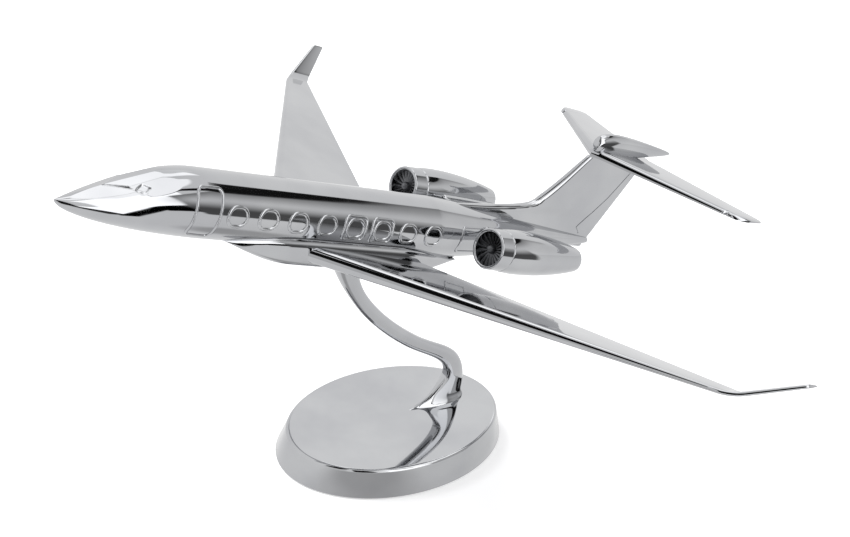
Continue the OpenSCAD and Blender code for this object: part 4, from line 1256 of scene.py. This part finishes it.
class DESKJET_OT_base(DeskJetStep, bpy.types.Operator):
    """Make the oval base with its rounded top edge"""

    bl_idname = "desk_jet.base"
    bl_label = "Base"

    def build(self, chosen):
        finish(solid("base_casting", *loft(base_rings()), sharp=40), ["base"], "stand")


class DESKJET_OT_small_parts(DeskJetStep, bpy.types.Operator):
    """Give the screws, washers, peg, bush and pad of the frame their finishes"""

    bl_idname = "desk_jet.small_parts"
    bl_label = "Small parts"

    def build(self, chosen):
        slots = {
            "zinc_plated_steel": (
                "wing_screws", "tail_screw", "pylon_dowels", "arm_peg", "arm_screws", "arm_washers",
            ),
            "brass": ("socket_bush",),
            "black_rubber": ("base_pad",),
        }
        for slot, nodes in slots.items():
            for node in nodes:
                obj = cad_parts[node]
                for holder in obj.material_slots:
                    holder.material = FINISHES[slot]
                if not obj.material_slots:
                    obj.data.materials.append(FINISHES[slot])


class DESKJET_OT_stage(DeskJetStep, bpy.types.Operator):
    """Set up the pale floor, the soft studio light and the camera"""

    bl_idname = "desk_jet.stage"
    bl_label = "Studio"

    def build(self, chosen):
        self.camera(chosen.stage)
        self.floor(chosen.stage)
        self.world()
        self.lamp()
        bpy.context.scene.view_settings.view_transform = "Standard"

    def camera(self, stage):
        """The photograph's view, found from the model's own points."""
        data = bpy.data.cameras.new("camera")
        data.lens = stage.lens
        data.sensor_width = 36.0
        data.sensor_fit = "HORIZONTAL"
        obj = bpy.data.objects.new("camera", data)
        obj.matrix_world = Matrix.Translation(CAMERA_PLACE) @ Matrix(CAMERA_AXES).transposed().to_4x4()
        bpy.context.scene.collection.objects.link(obj)
        bpy.context.scene.camera = obj

    def floor(self, stage):
        half = stage.floor_size / 2
        mesh = bpy.data.meshes.new("studio_floor")
        corners = [(-half, -half, 0), (half, -half, 0), (half, half, 0), (-half, half, 0)]
        mesh.from_pydata(corners, [], [(0, 1, 2, 3)])
        obj = show("studio_floor", mesh)
        # Matt white studio sweep: white to the camera, with the shadow kept, and the studio's tones in the
        # chrome
        material, tree = new_material("matt white sweep")
        path = add(tree, "ShaderNodeLightPath").outputs
        seen = shader_out(
            tree, "Math", path["Is Camera Ray"], path["Is Transmission Ray"], operation="MAXIMUM",
        )
        shade = shader_out(tree, "BsdfDiffuse", colour("#e9e9ea"))
        glow = shader_out(tree, "Emission", grey(1.0), FLOOR_GLOW)
        none = shader_out(tree, "Emission", grey(1.0), 0.0)
        extra = shader_out(tree, "MixShader", seen, none, glow)
        plain = shader_out(tree, "AddShader", shade, extra)
        tone = self.floor_tone(tree)
        mirrored_shade = shader_out(tree, "BsdfDiffuse", tone)
        mirrored_glow = shader_out(tree, "Emission", tone, MIRRORED_GLOW)
        dim = shader_out(tree, "MixShader", MIRRORED_SHADE, none, mirrored_shade)
        in_chrome = shader_out(tree, "AddShader", dim, mirrored_glow)
        both = shader_out(tree, "MixShader", path["Is Glossy Ray"], plain, in_chrome)
        add(tree, "ShaderNodeOutputMaterial", {"Surface": both})
        mesh.materials.append(material)

    def floor_tone(self, tree):
        """The studio's tone in the direction of a place on the floor, darker in the shade beside the base."""
        place = add(tree, "ShaderNodeTexCoord").outputs["Object"]
        ray = shader_out(tree, "VectorMath", place, SEEN_FROM, operation="SUBTRACT")
        tone = tone_at(tree, shader_out(tree, "VectorMath", ray, operation="NORMALIZE"))
        away = add(tree, "ShaderNodeVectorMath", {0: place, 1: SHADE_PLACE}, operation="DISTANCE")
        return shader_out(
            tree, "MapRange", away.outputs["Value"], *SHADE_REACH, SHADE_TONE, tone,
            interpolation_type="SMOOTHSTEP",
        )

    def world(self):
        """A pale studio all round, with its softboxes and dark gaps in the chrome alone."""
        world = bpy.data.worlds.new("studio")
        bpy.context.scene.world = world
        world.use_nodes = True
        tree = world.node_tree
        tree.nodes.clear()
        path = add(tree, "ShaderNodeLightPath").outputs
        tone = tone_at(tree, add(tree, "ShaderNodeTexCoord").outputs["Generated"])
        toned = shader_out(tree, "Background", grey(1.0), tone)
        plain = shader_out(tree, "Background", grey(1.0), ROOM_LIGHT)
        white = shader_out(tree, "Background", grey(1.0), 1.0)
        lit = shader_out(tree, "MixShader", path["Is Glossy Ray"], plain, toned)
        mixed = shader_out(tree, "MixShader", path["Is Camera Ray"], lit, white)
        add(tree, "ShaderNodeOutputWorld", {"Surface": mixed})

    def lamp(self):
        """The key softbox, which the chrome doesn't mirror."""
        data = bpy.data.lights.new("key_softbox", "AREA")
        data.shape = "RECTANGLE"
        data.size, data.size_y = KEY_SIZE
        data.energy = KEY_POWER
        obj = bpy.data.objects.new("key_softbox", data)
        a, e = math.radians(KEY_AZIMUTH), math.radians(KEY_ELEVATION)
        place = Vector((math.sin(a) * math.cos(e), -math.cos(a) * math.cos(e), math.sin(e))) * KEY_DISTANCE
        obj.location = place + Vector(KEY_AIM)
        obj.rotation_euler = place.to_track_quat("Z", "Y").to_euler()
        obj.visible_glossy = False
        bpy.context.scene.collection.objects.link(obj)


class DESKJET_PT_panel(bpy.types.Panel):
    """Steps and sizes of the desk jet"""

    bl_label = "Desk Jet"
    bl_idname = "DESKJET_PT_panel"
    bl_space_type = "VIEW_3D"
    bl_region_type = "UI"
    bl_category = "Desk Jet"

    def draw(self, context):
        chosen = settings()
        for group in (chosen.trim, chosen.engines, chosen.finish, chosen.stage):
            box = self.layout.box()
            for name in group.bl_rna.properties.keys():
                if name not in ("rna_type", "name"):
                    box.prop(group, name)
        for step in STEPS:
            self.layout.operator(step.bl_idname)


STEPS = (
    DESKJET_OT_fuselage, DESKJET_OT_cabin_trim, DESKJET_OT_belly, DESKJET_OT_wings, DESKJET_OT_tail,
    DESKJET_OT_engines, DESKJET_OT_arm, DESKJET_OT_base, DESKJET_OT_small_parts, DESKJET_OT_stage,
)
GROUPS = (DESKJET_PG_trim, DESKJET_PG_engines, DESKJET_PG_finish, DESKJET_PG_stage, DESKJET_PG_all)


def register():
    for item in (*GROUPS, *STEPS, DESKJET_PT_panel):
        bpy.utils.register_class(item)
    bpy.types.Scene.desk_jet = PointerProperty(type=DESKJET_PG_all)


def unregister():
    del bpy.types.Scene.desk_jet
    for item in (DESKJET_PT_panel, *reversed(STEPS), *reversed(GROUPS)):
        bpy.utils.unregister_class(item)


def main():
    register()
    for step in STEPS:
        group, name = step.bl_idname.split(".")
        getattr(getattr(bpy.ops, group), name)()


if __name__ == "__main__":
    main()
